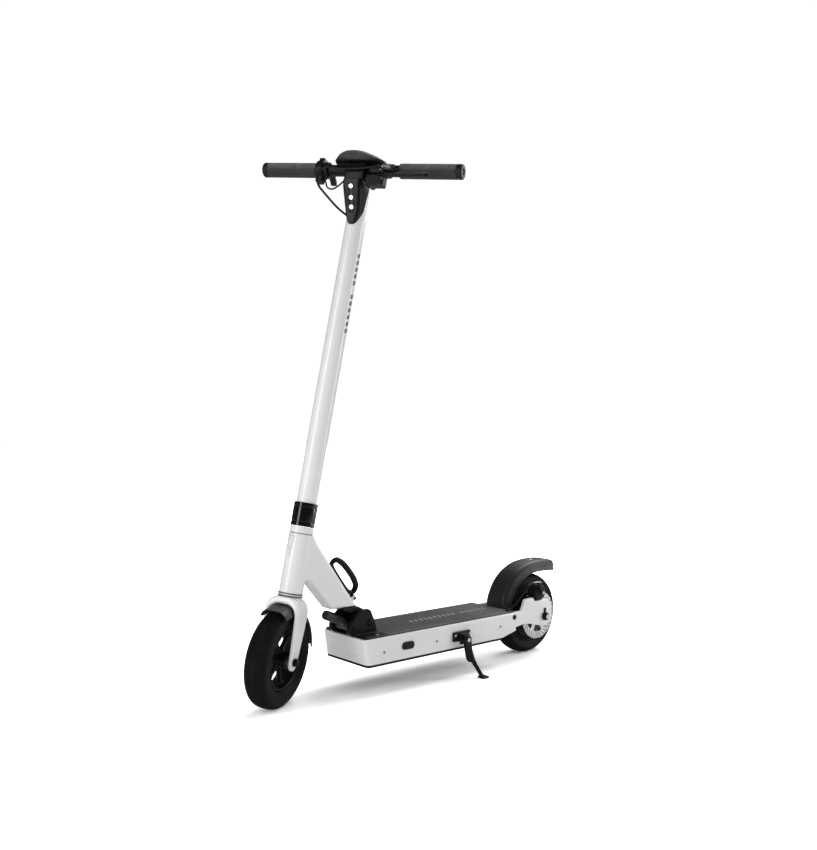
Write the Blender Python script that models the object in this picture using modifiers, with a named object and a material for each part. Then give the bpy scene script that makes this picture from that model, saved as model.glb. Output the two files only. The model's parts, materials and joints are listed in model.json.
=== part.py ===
"""Electric kick scooter standing on its kickstand, with the bars turned to the left.

+X is forward, +Y is the rider's left and +Z is up.  Lengths in this file are in
millimetres; the helpers turn them into metres.
"""

import math

import bmesh
import bpy
from mathutils import Matrix, Vector

MM = 0.001

# Frame: moves the whole scooter so the box around it is centred over the origin.
SHIFT = (3.08, -9.8, 0.0)

# Deck
DECK_REAR, DECK_FRONT, DECK_NOSE = -268.0, 210.0, 10.0
DECK_LOW, DECK_TOP, DECK_HALF = 68.0, 124.0, 73.5
WALL = 4.0
COVER_LOW = 63.7

# Wheels
WHEEL_R, TYRE_HALF, TREAD_FLAT, BEAD_R = 100.0, 25.5, 6.0, 63.0
REAR_AXLE = (-381.4, 100.0)
WHEEL_SIDES = 40

# Steering axis: a point on it, its rake and the way the bars are turned
AXIS_FOOT = (374.6, 98.93)
RAKE = math.radians(11.2)
STEER = math.radians(26.7)
TRAIL = 6.9

# Heights along the steering axis, from AXIS_FOOT
CROWN_LOW, CROWN_TOP = 111.0, 129.0
HEAD_LOW, HEAD_TOP = 132.0, 269.0
COLLAR_LOW, COLLAR_TOP = 271.3, 320.0
STEM_TOP = 1008.0
BAR_S, BAR_AHEAD = 1039.0, 21.8
STEM_R, STEM_BORE, STEERER_R = 21.5, 18.0, 17.7
HEAD_R, HEAD_BORE = 25.0, 21.8

# Handlebar
BAR_R, BAR_HALF, GRIP_R = 12.5, 231.0, 16.3
GRIP_LEFT_IN, GRIP_RIGHT_IN, GRIP_OUT = 95.0, 101.0, 234.5
LEVER_DROOP = math.radians(31.0)

# Fold hinge, foot pedal and pull ring
FOLD = (165.0, 150.0)
PEDAL = (207.0, 143.0)
RING = (186.5, 201.5)
EAR_IN, EAR_OUT = 24.6, 36.0

# Rounding of the fenders' shoulders
FENDER_ROUND = 11.0

# Rear brake and kickstand
CALIPER = (-365.0, 162.0)
DISC_R, DISC_LOW, DISC_HIGH = 60.0, 44.8, 46.8
PLATE_IN, PLATE_OUT = 61.7, 69.2
STAND = (-80.0, 88.0)
PORT = (87.0, 97.0)

GAP = 0.3

for old in list(bpy.data.objects):
    bpy.data.objects.remove(old)

ASSEMBLY = bpy.data.collections.new("electric kick scooter")
CUTTERS = bpy.data.collections.new("cutters")
for group in (ASSEMBLY, CUTTERS):
    bpy.context.scene.collection.children.link(group)


def paint(name, colour, metallic, roughness):
    material = bpy.data.materials.new(name)
    material.use_nodes = True
    shader = material.node_tree.nodes["Principled BSDF"]
    shader.inputs["Base Color"].default_value = (*colour, 1.0)
    shader.inputs["Metallic"].default_value = metallic
    shader.inputs["Roughness"].default_value = roughness
    material.diffuse_color = (*colour, 1.0)
    return material


WHITE = paint("white_paint", (0.82, 0.83, 0.85), 0.0, 0.3)
BLACK = paint("black_paint", (0.02, 0.02, 0.023), 0.0, 0.4)
PLASTIC = paint("black_plastic", (0.03, 0.03, 0.033), 0.0, 0.55)
GLOSS = paint("gloss_plastic", (0.012, 0.012, 0.014), 0.0, 0.15)
GRIP = paint("grip_rubber", (0.1, 0.1, 0.105), 0.0, 0.8)
MAT = paint("mat_rubber", (0.09, 0.085, 0.09), 0.0, 0.9)
TYRE = paint("tyre_rubber", (0.015, 0.015, 0.016), 0.0, 0.85)
STEEL = paint("bright_steel", (0.6, 0.6, 0.62), 1.0, 0.3)
ALLOY = paint("cast_alloy", (0.35, 0.35, 0.36), 1.0, 0.45)
LENS = paint("lens", (0.9, 0.92, 0.95), 0.0, 0.1)
CELL = paint("battery_wrap", (0.04, 0.1, 0.3), 0.0, 0.5)


def metres(values):
    return Vector([value * MM for value in values])


def empty(name, parent, at, turn=(0.0, 0.0, 0.0)):
    node = bpy.data.objects.new(name, None)
    ASSEMBLY.objects.link(node)
    node.parent = parent
    node.location = metres(at)
    node.rotation_euler = turn
    return node


def from_bmesh(name, shape):
    mesh = bpy.data.meshes.new(name)
    shape.to_mesh(mesh)
    shape.free()
    return bpy.data.objects.new(name, mesh)


def box(name, low, high):
    shape = bmesh.new()
    bmesh.ops.create_cube(shape, size=1.0)
    low, high = metres(low), metres(high)
    size, middle = high - low, (high + low) / 2.0
    for vert in shape.verts:
        vert.co = Vector([vert.co[i] * size[i] + middle[i] for i in range(3)])
    return from_bmesh(name, shape)


def rod(name, start, end, radius, sides=24, end_radius=None):
    """A straight round (or n-sided) bar between two points."""
    start, end = metres(start), metres(end)
    line = end - start
    shape = bmesh.new()
    bmesh.ops.create_cone(
        shape, cap_ends=True, segments=sides, depth=line.length,
        radius1=radius * MM, radius2=(radius if end_radius is None else end_radius) * MM,
    )
    turn = line.to_track_quat("Z", "Y").to_matrix().to_4x4()
    bmesh.ops.transform(shape, matrix=Matrix.Translation((start + end) / 2.0) @ turn, verts=shape.verts)
    return from_bmesh(name, shape)


def ball(name, at, radii, sides=14):
    shape = bmesh.new()
    bmesh.ops.create_uvsphere(shape, u_segments=sides, v_segments=sides // 2, radius=1.0)
    for vert in shape.verts:
        vert.co = Vector([vert.co[i] * radii[i] * MM + at[i] * MM for i in range(3)])
    return from_bmesh(name, shape)


def turned(name, profile, sides=32, closed=True):
    """Spins a closed profile of (radius, height) round Z, outer side first and downwards."""
    shape = bmesh.new()
    verts = [shape.verts.new((r * MM, 0.0, z * MM)) for r, z in profile]
    for first, second in zip(verts, verts[1:] + verts[:1] if closed else verts[1:]):
        shape.edges.new((first, second))
    body = from_bmesh(name, shape)
    spin = body.modifiers.new("spin", "SCREW")
    spin.axis = "Z"
    spin.angle = 2.0 * math.pi
    spin.steps = spin.render_steps = sides
    spin.use_merge_vertices = True
    spin.merge_threshold = 0.000005
    return body


def curve_mesh(name, curve):
    """Makes a mesh body of a curve, so that it can be cut and joined."""
    holder = bpy.data.objects.new(name, curve)
    CUTTERS.objects.link(holder)
    bpy.context.view_layer.update()
    ready = holder.evaluated_get(bpy.context.evaluated_depsgraph_get())
    mesh = bpy.data.meshes.new_from_object(ready)
    bpy.data.objects.remove(holder)
    shape = bmesh.new()
    shape.from_mesh(mesh)
    bmesh.ops.remove_doubles(shape, verts=shape.verts, dist=0.000005)
    bmesh.ops.recalc_face_normals(shape, faces=shape.faces)
    bpy.data.meshes.remove(mesh)
    return from_bmesh(name, shape)


def plate(name, outline, low, high):
    """An outline of (x, z) points, thickened along Y from low to high."""
    curve = bpy.data.curves.new(name, "CURVE")
    curve.dimensions = "2D"
    curve.fill_mode = "BOTH"
    curve.extrude = (high - low) / 2.0 * MM
    spline = curve.splines.new("POLY")
    spline.points.add(len(outline) - 1)
    for point, (x, z) in zip(spline.points, outline):
        point.co = (x * MM, z * MM, 0.0, 1.0)
    spline.use_cyclic_u = True
    body = curve_mesh(name, curve)
    body.data.transform(
        Matrix.Translation((0.0, (low + high) / 2.0 * MM, 0.0)) @ Matrix.Rotation(math.pi / 2.0, 4, "X")
    )
    return body


def tube(name, path, radius, sides=3, steps=4, loop=False, taper=None):
    """A round wire through smooth bends; taper gives the radius factor at each point."""
    curve = bpy.data.curves.new(name, "CURVE")
    curve.dimensions = "3D"
    curve.bevel_depth = radius * MM
    curve.bevel_resolution = sides
    curve.use_fill_caps = not loop
    curve.resolution_u = steps
    spline = curve.splines.new("NURBS")
    spline.points.add(len(path) - 1)
    for index, at in enumerate(path):
        spline.points[index].co = (*metres(at), 1.0)
        if taper:
            spline.points[index].radius = taper[index]
    spline.order_u = 3
    spline.use_endpoint_u = not loop
    spline.use_cyclic_u = loop
    return curve_mesh(name, curve)


def loft(name, sections):
    """Skins a stack of equal-length rings of points and closes both ends."""
    shape = bmesh.new()
    rings = [[shape.verts.new(metres(at)) for at in ring] for ring in sections]
    count = len(rings[0])
    for lower, upper in zip(rings, rings[1:]):
        for i in range(count):
            j = (i + 1) % count
            shape.faces.new((lower[i], lower[j], upper[j], upper[i]))
    shape.faces.new(rings[0][::-1])
    shape.faces.new(rings[-1])
    bmesh.ops.recalc_face_normals(shape, faces=shape.faces)
    return from_bmesh(name, shape)


def fender_shell(name, crest, hem, half, wall, rounding):
    """A round-shouldered channel that follows a crest line, with skirts down to a hem line."""
    sections = []
    for top, bottom in zip(crest, hem):
        depth = math.hypot(bottom[0] - top[0], bottom[1] - top[1])
        inward = ((bottom[0] - top[0]) / depth, (bottom[1] - top[1]) / depth)
        shoulder = [math.radians(a) for a in (0.0, 30.0, 60.0, 90.0)]
        ring = []
        for radius, order in ((rounding, 1), (rounding - wall, -1)):
            side = [(half - rounding + radius, depth)]
            side += [(half - rounding + radius * math.cos(a), rounding - radius * math.sin(a))
                     for a in shoulder]
            across = side + [(-y, r) for y, r in side[::-1]]
            ring += across[::order]
        sections.append([(top[0] + inward[0] * r, y, top[1] + inward[1] * r) for y, r in ring])
    return loft(name, sections)


def combine(body, other, operation):
    CUTTERS.objects.link(other)
    other.hide_render = True
    other.display_type = "WIRE"
    change = body.modifiers.new(operation.lower(), "BOOLEAN")
    change.operation = operation
    change.solver = "EXACT"
    change.object = other
    return other


PENDING = {}


def cut(body, *tools):
    PENDING.setdefault(body, []).extend(combine(body, tool, "DIFFERENCE") for tool in tools)


def join(body, *others):
    PENDING.setdefault(body, []).extend(combine(body, other, "UNION") for other in others)


def soften(body, width, segments=2, angle=30.0):
    bevel = body.modifiers.new("edges", "BEVEL")
    bevel.width = width * MM
    bevel.segments = segments
    bevel.limit_method = "ANGLE"
    bevel.angle_limit = math.radians(angle)


def nut(name, x, z, ends, radius, bore):
    """A hexagon nut on an axle along Y."""
    body = rod(name, (x, ends[0], z), (x, ends[1], z), radius, 6)
    cut(body, rod(name + "_bore", (x, ends[0] - 5.0, z), (x, ends[1] + 5.0, z), bore, 16))
    return body


def place(body, parent, material, at=(0.0, 0.0, 0.0), turn=(0.0, 0.0, 0.0), smooth=None):
    """Puts a finished body and its cutters into the assembly."""
    ASSEMBLY.objects.link(body)
    for item in [body] + PENDING.pop(body, []):
        item.parent = parent
        item.location = metres(at)
        item.rotation_euler = turn
    body.data.materials.clear()
    body.data.materials.append(material)
    if smooth:
        body.data.shade_smooth()
        body.data.set_sharp_from_angle(angle=math.radians(smooth))
    return body


ALONG_Y = (-math.pi / 2.0, 0.0, 0.0)


# ---------------------------------------------------------------- frames
root = empty("scooter_origin", None, SHIFT)
fold = empty("fold_axis", root, (FOLD[0], 0.0, FOLD[1]))
IN_FOLD = (-FOLD[0], 0.0, -FOLD[1])
head = empty("head_frame", fold, (AXIS_FOOT[0] - FOLD[0], 0.0, AXIS_FOOT[1] - FOLD[1]), (0.0, -RAKE, 0.0))
bars = empty("steering_axis", head, (0.0, 0.0, 0.0), (0.0, 0.0, STEER))


# ---------------------------------------------------------------- deck
def build_deck():
    shell = plate(
        "deck_shell",
        [(DECK_REAR, DECK_LOW + 12.0), (DECK_REAR + 52.0, DECK_LOW), (DECK_FRONT - DECK_NOSE, DECK_LOW),
         (DECK_FRONT, DECK_TOP), (DECK_REAR, DECK_TOP)],
        -DECK_HALF, DECK_HALF,
    )
    weight_nose(shell.data)
    round_nose = shell.modifiers.new("nose", "BEVEL")
    round_nose.width, round_nose.segments, round_nose.limit_method = 0.012, 4, "WEIGHT"
    soften(shell, 2.5, 2, 40.0)
    inside = DECK_HALF - WALL
    cut(
        shell,
        plate(
            "deck_hollow",
            [(DECK_REAR + 23.0, DECK_LOW - 5.0), (DECK_FRONT - DECK_NOSE - 5.0, DECK_LOW - 5.0),
             (DECK_FRONT - 7.0, DECK_TOP - WALL), (DECK_REAR + 23.0, DECK_TOP - WALL)],
            -inside, inside,
        ),
        box("deck_rear_pocket", (DECK_REAR - 5.0, -inside, DECK_LOW - 5.0),
            (DECK_REAR + 18.0, inside, DECK_TOP - WALL)),
        oval("port_hole", 15.6, 6.6, 60.0, 80.0),
    )
    place(shell, root, WHITE, smooth=35)

    cover = box("bottom_cover", (DECK_REAR + 54.0, -DECK_HALF + 1.0, COVER_LOW),
                (DECK_FRONT - DECK_NOSE - 1.0, DECK_HALF - 1.0, DECK_LOW - GAP))
    soften(cover, 1.2, 1)
    place(cover, root, BLACK)

    mat = box("deck_mat", (-262.0, -70.5, DECK_TOP + GAP), (140.0, 70.5, DECK_TOP + 3.0))
    soften(mat, 1.0, 1)
    place(mat, root, MAT)

    battery = box("battery_pack", (-205.0, -54.0, DECK_LOW + 3.0), (60.0, 62.0, DECK_TOP - WALL - 3.0))
    soften(battery, 4.0, 1)
    place(battery, root, CELL)
    controller = box("motor_controller", (100.0, -60.0, DECK_LOW + 6.0), (185.0, 50.0, DECK_TOP - 16.0))
    soften(controller, 2.0, 1)
    place(controller, root, ALLOY)


def weight_nose(mesh):
    """Marks the two upright edges at the deck's front for the large corner rounding."""
    weights = mesh.attributes.new("bevel_weight_edge", "FLOAT", "EDGE")
    for edge in mesh.edges:
        ends = [mesh.vertices[i].co for i in edge.vertices]
        front = all(end.x > (DECK_FRONT - DECK_NOSE - 1.0) * MM for end in ends)
        upright = abs(ends[0].z - ends[1].z) > 0.5 * (DECK_TOP - DECK_LOW) * MM
        weights.data[edge.index].value = 1.0 if front and upright else 0.0


def oval(name, half_length, half_height, low, high, steps=8):
    """A slot-ended bar along Y at the charge port."""
    reach = half_length - half_height
    points = []
    for side in (1.0, -1.0):
        for i in range(steps + 1):
            angle = math.pi * i / steps - math.pi / 2.0
            points.append((PORT[0] + side * (reach + half_height * math.cos(angle)),
                           PORT[1] + side * half_height * math.sin(angle)))
    return plate(name, points, low, high)


def build_charge_port():
    socket = oval("charge_socket", 15.2, 6.2, 60.0, DECK_HALF - 0.2)
    cut(socket, rod("socket_bore", (PORT[0], 64.0, PORT[1]), (PORT[0], 80.0, PORT[1]), 4.6, 16))
    place(socket, root, PLASTIC, smooth=35)

    hinge = empty("charge_cap_axis", root, (PORT[0] - 17.0, DECK_HALF + 1.6, PORT[1]))
    cap = oval("charge_cap", 18.0, 8.6, DECK_HALF + GAP, DECK_HALF + 2.8)
    soften(cap, 0.8, 1)
    place(cap, hinge, PLASTIC, (-PORT[0] + 17.0, -DECK_HALF - 1.6, -PORT[1]), smooth=35)


# ---------------------------------------------------------------- rear end
def build_dropouts():
    lap, top = DECK_REAR + 17.0, DECK_TOP - WALL - 0.5
    outline = [
        (lap, 84.0), (lap, top), (DECK_REAR - 0.4, top), (DECK_REAR - 0.4, DECK_TOP), (-294.0, DECK_TOP),
        (-304.0, 148.0), (-310.0, 151.0), (-336.0, 151.0), (-343.0, 141.3), (-387.0, 141.3), (-394.0, 142.0),
        (-405.0, 130.0), (-408.0, 112.0), (-408.0, 96.0), (-400.0, 82.0), (-384.0, 76.0),
        (-366.0, 78.0), (-330.0, 87.0), (-302.0, 90.0),
    ]
    low_edge = [(DECK_REAR - 0.4, 122.0), (-300.0, 122.0), (-345.0, 124.0), (-372.0, 134.0)]
    plain = outline[:3] + low_edge + outline[10:]
    for name, side, outline in (("dropout_left", 1.0, outline), ("dropout_right", -1.0, plain)):
        faces = sorted((side * PLATE_IN, side * PLATE_OUT))
        body = plate(name, outline, *faces)
        cut(body, rod(name + "_bore", (REAR_AXLE[0], faces[0] - 5.0, REAR_AXLE[1]),
                      (REAR_AXLE[0], faces[1] + 5.0, REAR_AXLE[1]), 6.4, 20))
        place(body, root, WHITE)


def tyre_profile():
    return [
        (WHEEL_R, TREAD_FLAT), (WHEEL_R, -TREAD_FLAT), (98.2, -15.0), (93.0, -22.5), (84.0, -TYRE_HALF),
        (72.0, -23.8), (BEAD_R, -19.0), (BEAD_R, 19.0), (72.0, 23.8), (84.0, TYRE_HALF), (93.0, 22.5),
        (98.2, 15.0),
    ]


def build_rear_wheel():
    spin = empty("rear_wheel_axis", root, (REAR_AXLE[0], 0.0, REAR_AXLE[1]))
    place(turned("rear_tyre", tyre_profile(), WHEEL_SIDES), spin, TYRE, turn=ALONG_Y, smooth=40)
    hub = turned("rear_hub", [
        (9.0, 44.5), (20.0, 44.5), (20.0, 34.0), (57.0, 25.0), (62.7, 21.0), (62.7, -21.0),
        (57.0, -25.0), (20.0, -34.0), (9.0, -34.0), (9.0, -28.0), (24.0, -26.0), (55.0, -20.0),
        (55.0, 20.0), (24.0, 26.0), (9.0, 28.0),
    ], 24)
    place(hub, spin, BLACK, turn=ALONG_Y, smooth=40)
    disc = turned("brake_disc", [
        (DISC_R, DISC_HIGH), (DISC_R, DISC_LOW), (9.0, DISC_LOW), (9.0, DISC_HIGH)], 36)
    windows = []
    for i in range(6):
        angle = math.radians(60.0 * i)
        x, y = 32.0 * math.cos(angle), 32.0 * math.sin(angle)
        windows.append(rod(f"disc_window_{i}", (x, y, 35.0), (x, y, 55.0), 8.0, 8))
    cut(disc, *windows)
    place(disc, spin, STEEL, turn=ALONG_Y, smooth=40)

    place(rod("rear_axle", (0.0, 0.0, -80.0), (0.0, 0.0, 80.0), 6.0, 20), root, STEEL,
          (REAR_AXLE[0], 0.0, REAR_AXLE[1]), ALONG_Y, smooth=40)
    stator = turned("motor_stator", [(49.0, 15.0), (49.0, -15.0), (6.3, -15.0), (6.3, 15.0)], 28)
    place(stator, root, ALLOY, (REAR_AXLE[0], 0.0, REAR_AXLE[1]), ALONG_Y, smooth=40)
    for name, side in (("rear_axle_nut_left", 1.0), ("rear_axle_nut_right", -1.0)):
        ends = sorted((side * (PLATE_OUT + GAP), side * 77.5))
        place(nut(name, *REAR_AXLE, ends, 10.5, 6.4), root, BLACK)


def build_rear_fender():
    """An arched shell from the deck over the wheel, open underneath."""
    outer = [
        (-268.6, 98.0), (-270.0, 140.0), (-279.0, 165.0), (-294.0, 188.0), (-315.0, 207.0),
        (-341.0, 221.0), (-369.0, 229.5), (-398.0, 233.0), (-430.0, 233.5), (-458.0, 231.0),
    ]
    lower = [
        (-459.0, 203.0), (-432.0, 205.0), (-400.0, 205.5), (-371.0, 202.5), (-345.0, 193.5),
        (-324.0, 178.0), (-309.0, 159.0), (-299.0, 140.0), (-293.0, 118.0), (-291.0, 98.0),
    ]
    shell = fender_shell("rear_fender", outer, lower[::-1], 33.0, 3.2, 12.0)
    join(shell, box("fender_tab", (-271.0, -22.0, 100.0), (DECK_REAR + 17.5, 22.0, 112.0)))
    place(shell, root, PLASTIC, smooth=40)


def build_rear_brake():
    x, z = CALIPER
    body = rod("caliper_body", (x, 38.0, z), (x, 72.0, z), 20.0, 28)
    slot = rod("caliper_slot", (REAR_AXLE[0], DISC_LOW - 1.6, REAR_AXLE[1]),
               (REAR_AXLE[0], DISC_HIGH + 1.6, REAR_AXLE[1]), DISC_R + 2.5, 40)
    cut(body, slot, rod("caliper_stud_bore", (x, 60.0, z), (x, 90.0, z), 4.3, 16))
    place(body, root, PLASTIC, smooth=40)

    axis = empty("caliper_arm_axis", root, (x, 0.0, z))
    arm = rod("caliper_arm", (0.0, 61.0, 0.0), (0.0, 73.0, 0.0), 4.0, 16)
    join(arm, plate("caliper_arm_blade", [(-6.0, -4.0), (4.0, -6.5), (8.0, 2.0), (19.0, 26.0), (15.0, 33.0),
                                          (8.0, 31.0), (-6.0, 4.0)], 72.4, 76.0))
    place(arm, axis, STEEL, smooth=40)

    cable = tube("rear_brake_cable", [
        (-252.0, 60.0, 129.8), (-264.0, 61.0, 131.0), (-290.0, 70.0, 160.0), (-304.0, 77.0, 181.0),
        (-314.0, 76.0, 188.0), (-325.0, 75.0, 190.0),
    ], 2.4, 1, 3)
    place(cable, root, PLASTIC, smooth=60)

    lead = tube("motor_lead", [
        (-381.4, -80.4, 100.0), (-381.4, -91.0, 100.0), (-362.0, -93.0, 94.0), (-318.0, -84.0, 84.0),
        (-284.0, -80.0, 88.0), (-258.0, -80.0, 94.0), (-240.0, -77.0, 94.0),
    ], 3.0, 1, 3)
    place(lead, root, PLASTIC, smooth=60)


def build_kickstand():
    x, z = STAND
    bracket = box("kickstand_bracket", (-103.0, DECK_HALF + GAP, 84.0), (-49.0, 79.0, 106.0))
    soften(bracket, 2.0, 1)
    join(bracket, box("kickstand_block", (x - 13.0, 77.0, 77.0), (x + 11.0, 84.6, 101.0)))
    cut(bracket, rod("bracket_bore", (x, 70.0, z), (x, 90.0, z), 4.4, 16))
    place(bracket, root, BLACK, smooth=30)

    pin = rod("kickstand_pin", (x, 75.0, z), (x, 97.0, z), 4.0, 16)
    join(pin, rod("kickstand_pin_head", (x, 96.5, z), (x, 99.6, z), 6.6, 16))
    place(pin, root, STEEL, smooth=40)

    axis = empty("kickstand_axis", root, (x, 0.0, z))
    leg = rod("kickstand_leg", (0.0, 85.0, 0.0), (0.0, 96.1, 0.0), 10.5, 20)
    join(
        leg,
        plate("kickstand_upper", [(-9.0, 0.0), (9.0, -2.0), (6.0, -20.0), (-1.0, -44.0), (-7.0, -53.0),
                                  (-18.0, -50.0), (-19.0, -40.0), (-12.0, -18.0)], 86.0, 97.5),
        tube("kickstand_shank", [
            (-1.0, 90.6, -6.0), (-6.0, 93.2, -26.0), (-11.0, 96.0, -44.0), (-16.0, 100.0, -54.0),
            (-24.0, 107.0, -72.0), (-29.5, 112.0, -84.6),
        ], 5.0, 3, 3, taper=[1.05, 1.5, 1.45, 1.0, 0.95, 0.9]),
        box("kickstand_foot", (-42.0, 104.0, -z), (-22.0, 124.0, -z + 5.0)),
    )
    cut(leg, rod("kickstand_eye", (0.0, 80.0, 0.0), (0.0, 110.0, 0.0), 4.4, 16),
        rod("kickstand_head_room", (0.0, 96.1, 0.0), (0.0, 110.0, 0.0), 8.0, 20))
    place(leg, axis, BLACK, smooth=35)


# ---------------------------------------------------------------- fold hinge and neck
def build_hinge():
    base = plate_level(
        "hinge_base",
        [(140.4, -70.6), (199.0, -70.6), (206.6, -63.0), (206.6, 63.0), (199.0, 70.6), (140.4, 70.6)],
        DECK_TOP + GAP, DECK_TOP + 3.6,
    )
    ear = [(142.0, DECK_TOP + 3.0), (149.0, 150.0), (161.0, 176.0), (167.0, 180.0), (190.0, 180.0),
           (203.0, 170.0), (221.0, 151.0), (223.0, 132.0), (209.0, DECK_TOP + 3.0)]
    for side, name in ((1.0, "ear_left"), (-1.0, "ear_right")):
        join(base, plate(name, ear, *sorted((side * EAR_IN, side * EAR_OUT))))
    for name, (x, z), radius in (("fold_bore", FOLD, 6.3), ("pedal_bore", PEDAL, 4.3)):
        cut(base, rod(name, (x, -50.0, z), (x, 50.0, z), radius, 20))
    place(base, root, BLACK)

    for name, (x, z), radius, half in (("hinge_pin", FOLD, 6.0, 39.0), ("fold_pedal_pin", PEDAL, 4.0, 37.0)):
        place(rod(name, (x, -half, z), (x, half, z), radius, 20), root, STEEL, smooth=40)

    knuckle = plate("hinge_knuckle", [
        (150.0, 142.0), (150.0, 158.0), (170.0, 177.0), (186.0, 185.7), (230.0, 185.7), (227.0, 180.5),
        (200.0, 172.0), (190.0, 160.0), (190.0, 140.0), (184.0, 134.0), (158.0, 134.0),
    ], -24.2, 24.2)
    cut(knuckle, rod("knuckle_bore", (FOLD[0], -40.0, FOLD[1]), (FOLD[0], 40.0, FOLD[1]), 6.3, 20))
    place(knuckle, fold, BLACK, IN_FOLD)

    x, z = PEDAL
    axis = empty("fold_pedal_axis", root, (x, 0.0, z))
    pedal = rod("fold_pedal", (0.0, -22.0, 0.0), (0.0, 22.0, 0.0), 8.0, 20)
    join(
        pedal,
        plate("pedal_arm", [(-5.0, 5.0), (-1.0, 11.0), (10.0, 20.0), (18.0, 12.0), (7.0, 1.0)], -12.0, 12.0),
        rod("pedal_bar", (9.0, 0.0, 13.5), (48.0, 0.0, 28.5), 10.3, 16),
        ball("pedal_end", (48.0, 0.0, 28.5), (10.3, 10.3, 10.3), 14),
    )
    cut(pedal, rod("pedal_eye", (0.0, -40.0, 0.0), (0.0, 40.0, 0.0), 4.3, 16))
    place(pedal, axis, PLASTIC, smooth=40)


def on_beam(along, off):
    """A point beside the neck's upper face: along it from its lower end, and off it."""
    return (205.0 + 0.6 * along - 0.8 * off, 209.0 + 0.8 * along + 0.6 * off)


def head_at(offset, height):
    """The (x, z) of a point in the head tube's tilted frame."""
    return (AXIS_FOOT[0] + offset * math.cos(RAKE) - height * math.sin(RAKE),
            AXIS_FOOT[1] + offset * math.sin(RAKE) + height * math.cos(RAKE))


def build_neck():
    beam = plate("neck_frame", [
        (188.0, 186.0), (205.0, 209.0), (292.0, 325.0), (306.0, 350.0), head_at(-10.0, 262.0),
        head_at(0.0, 262.0), head_at(0.0, 150.0), head_at(-14.0, 158.0), (314.0, 252.0), (255.0, 186.0),
    ], -22.0, 22.0)
    soften(beam, 8.0, 2, 50.0)
    low, high = head_at(0.0, HEAD_LOW), head_at(0.0, HEAD_TOP)
    join(beam, rod("head_tube", (low[0], 0.0, low[1]), (high[0], 0.0, high[1]), HEAD_R, 32))
    lug_foot, lug_far = on_beam(-18.0, -2.0), on_beam(-6.0, -2.0)
    for side, name in ((1.0, "lug_left"), (-1.0, "lug_right")):
        x, z = RING
        join(beam, plate(name, [lug_foot, (x - 5.0, z - 2.0), (x - 3.5, z + 3.5), (x + 2.0, z + 5.0),
                               lug_far],
                         *sorted((side * 5.8, side * 10.0))))
    below, above = head_at(0.0, HEAD_LOW - 10.0), head_at(0.0, HEAD_TOP + 10.0)
    cut(beam, rod("head_bore", (below[0], 0.0, below[1]), (above[0], 0.0, above[1]), HEAD_BORE, 32),
        rod("lug_bore", (RING[0], -20.0, RING[1]), (RING[0], 20.0, RING[1]), 2.3, 12))
    place(beam, fold, WHITE, IN_FOLD, smooth=35)

    place(rod("latch_ring_pin", (RING[0], -11.0, RING[1]), (RING[0], 11.0, RING[1]), 2.0, 12),
          fold, STEEL, IN_FOLD, smooth=40)

    axis = empty("latch_ring_axis", fold, (RING[0] - FOLD[0], 0.0, RING[1] - FOLD[1]))
    path = [(-10.0, 18.0), (-4.0, 34.0), (14.0, 38.0), (40.0, 37.5), (66.0, 33.5), (81.0, 26.0),
            (82.0, 9.0), (66.0, 8.4), (30.0, 8.4), (0.0, 9.0)]
    ring = tube("latch_ring", [(on_beam(*p)[0] - RING[0], 0.0, on_beam(*p)[1] - RING[1]) for p in path],
                5.6, 2, 3, loop=True)
    x, z = on_beam(-6.0, 14.0)
    join(ring, rod("ring_eye", (0.0, -5.4, 0.0), (0.0, 5.4, 0.0), 5.5, 16),
         rod("ring_neck", (0.0, 0.0, 2.0), (x - RING[0], 0.0, z - RING[1]), 4.6, 12))
    cut(ring, rod("ring_bore", (0.0, -10.0, 0.0), (0.0, 10.0, 0.0), 2.3, 12))
    place(ring, axis, BLACK, smooth=50)

    for name, flange, barrel in (("headset_cup_lower", (129.4, 131.7), 146.0),
                                 ("headset_cup_upper", (271.0, 269.3), 255.0)):
        down = flange[0] < barrel
        low_ring = [(HEAD_BORE - GAP, barrel), (HEAD_BORE - GAP, flange[1]), (HEAD_R, flange[1]),
                    (HEAD_R, flange[0]), (18.0, flange[0]), (18.0, barrel)]
        cup = turned(name, low_ring if down else low_ring[::-1], 24)
        place(cup, head, BLACK, smooth=40)


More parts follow.
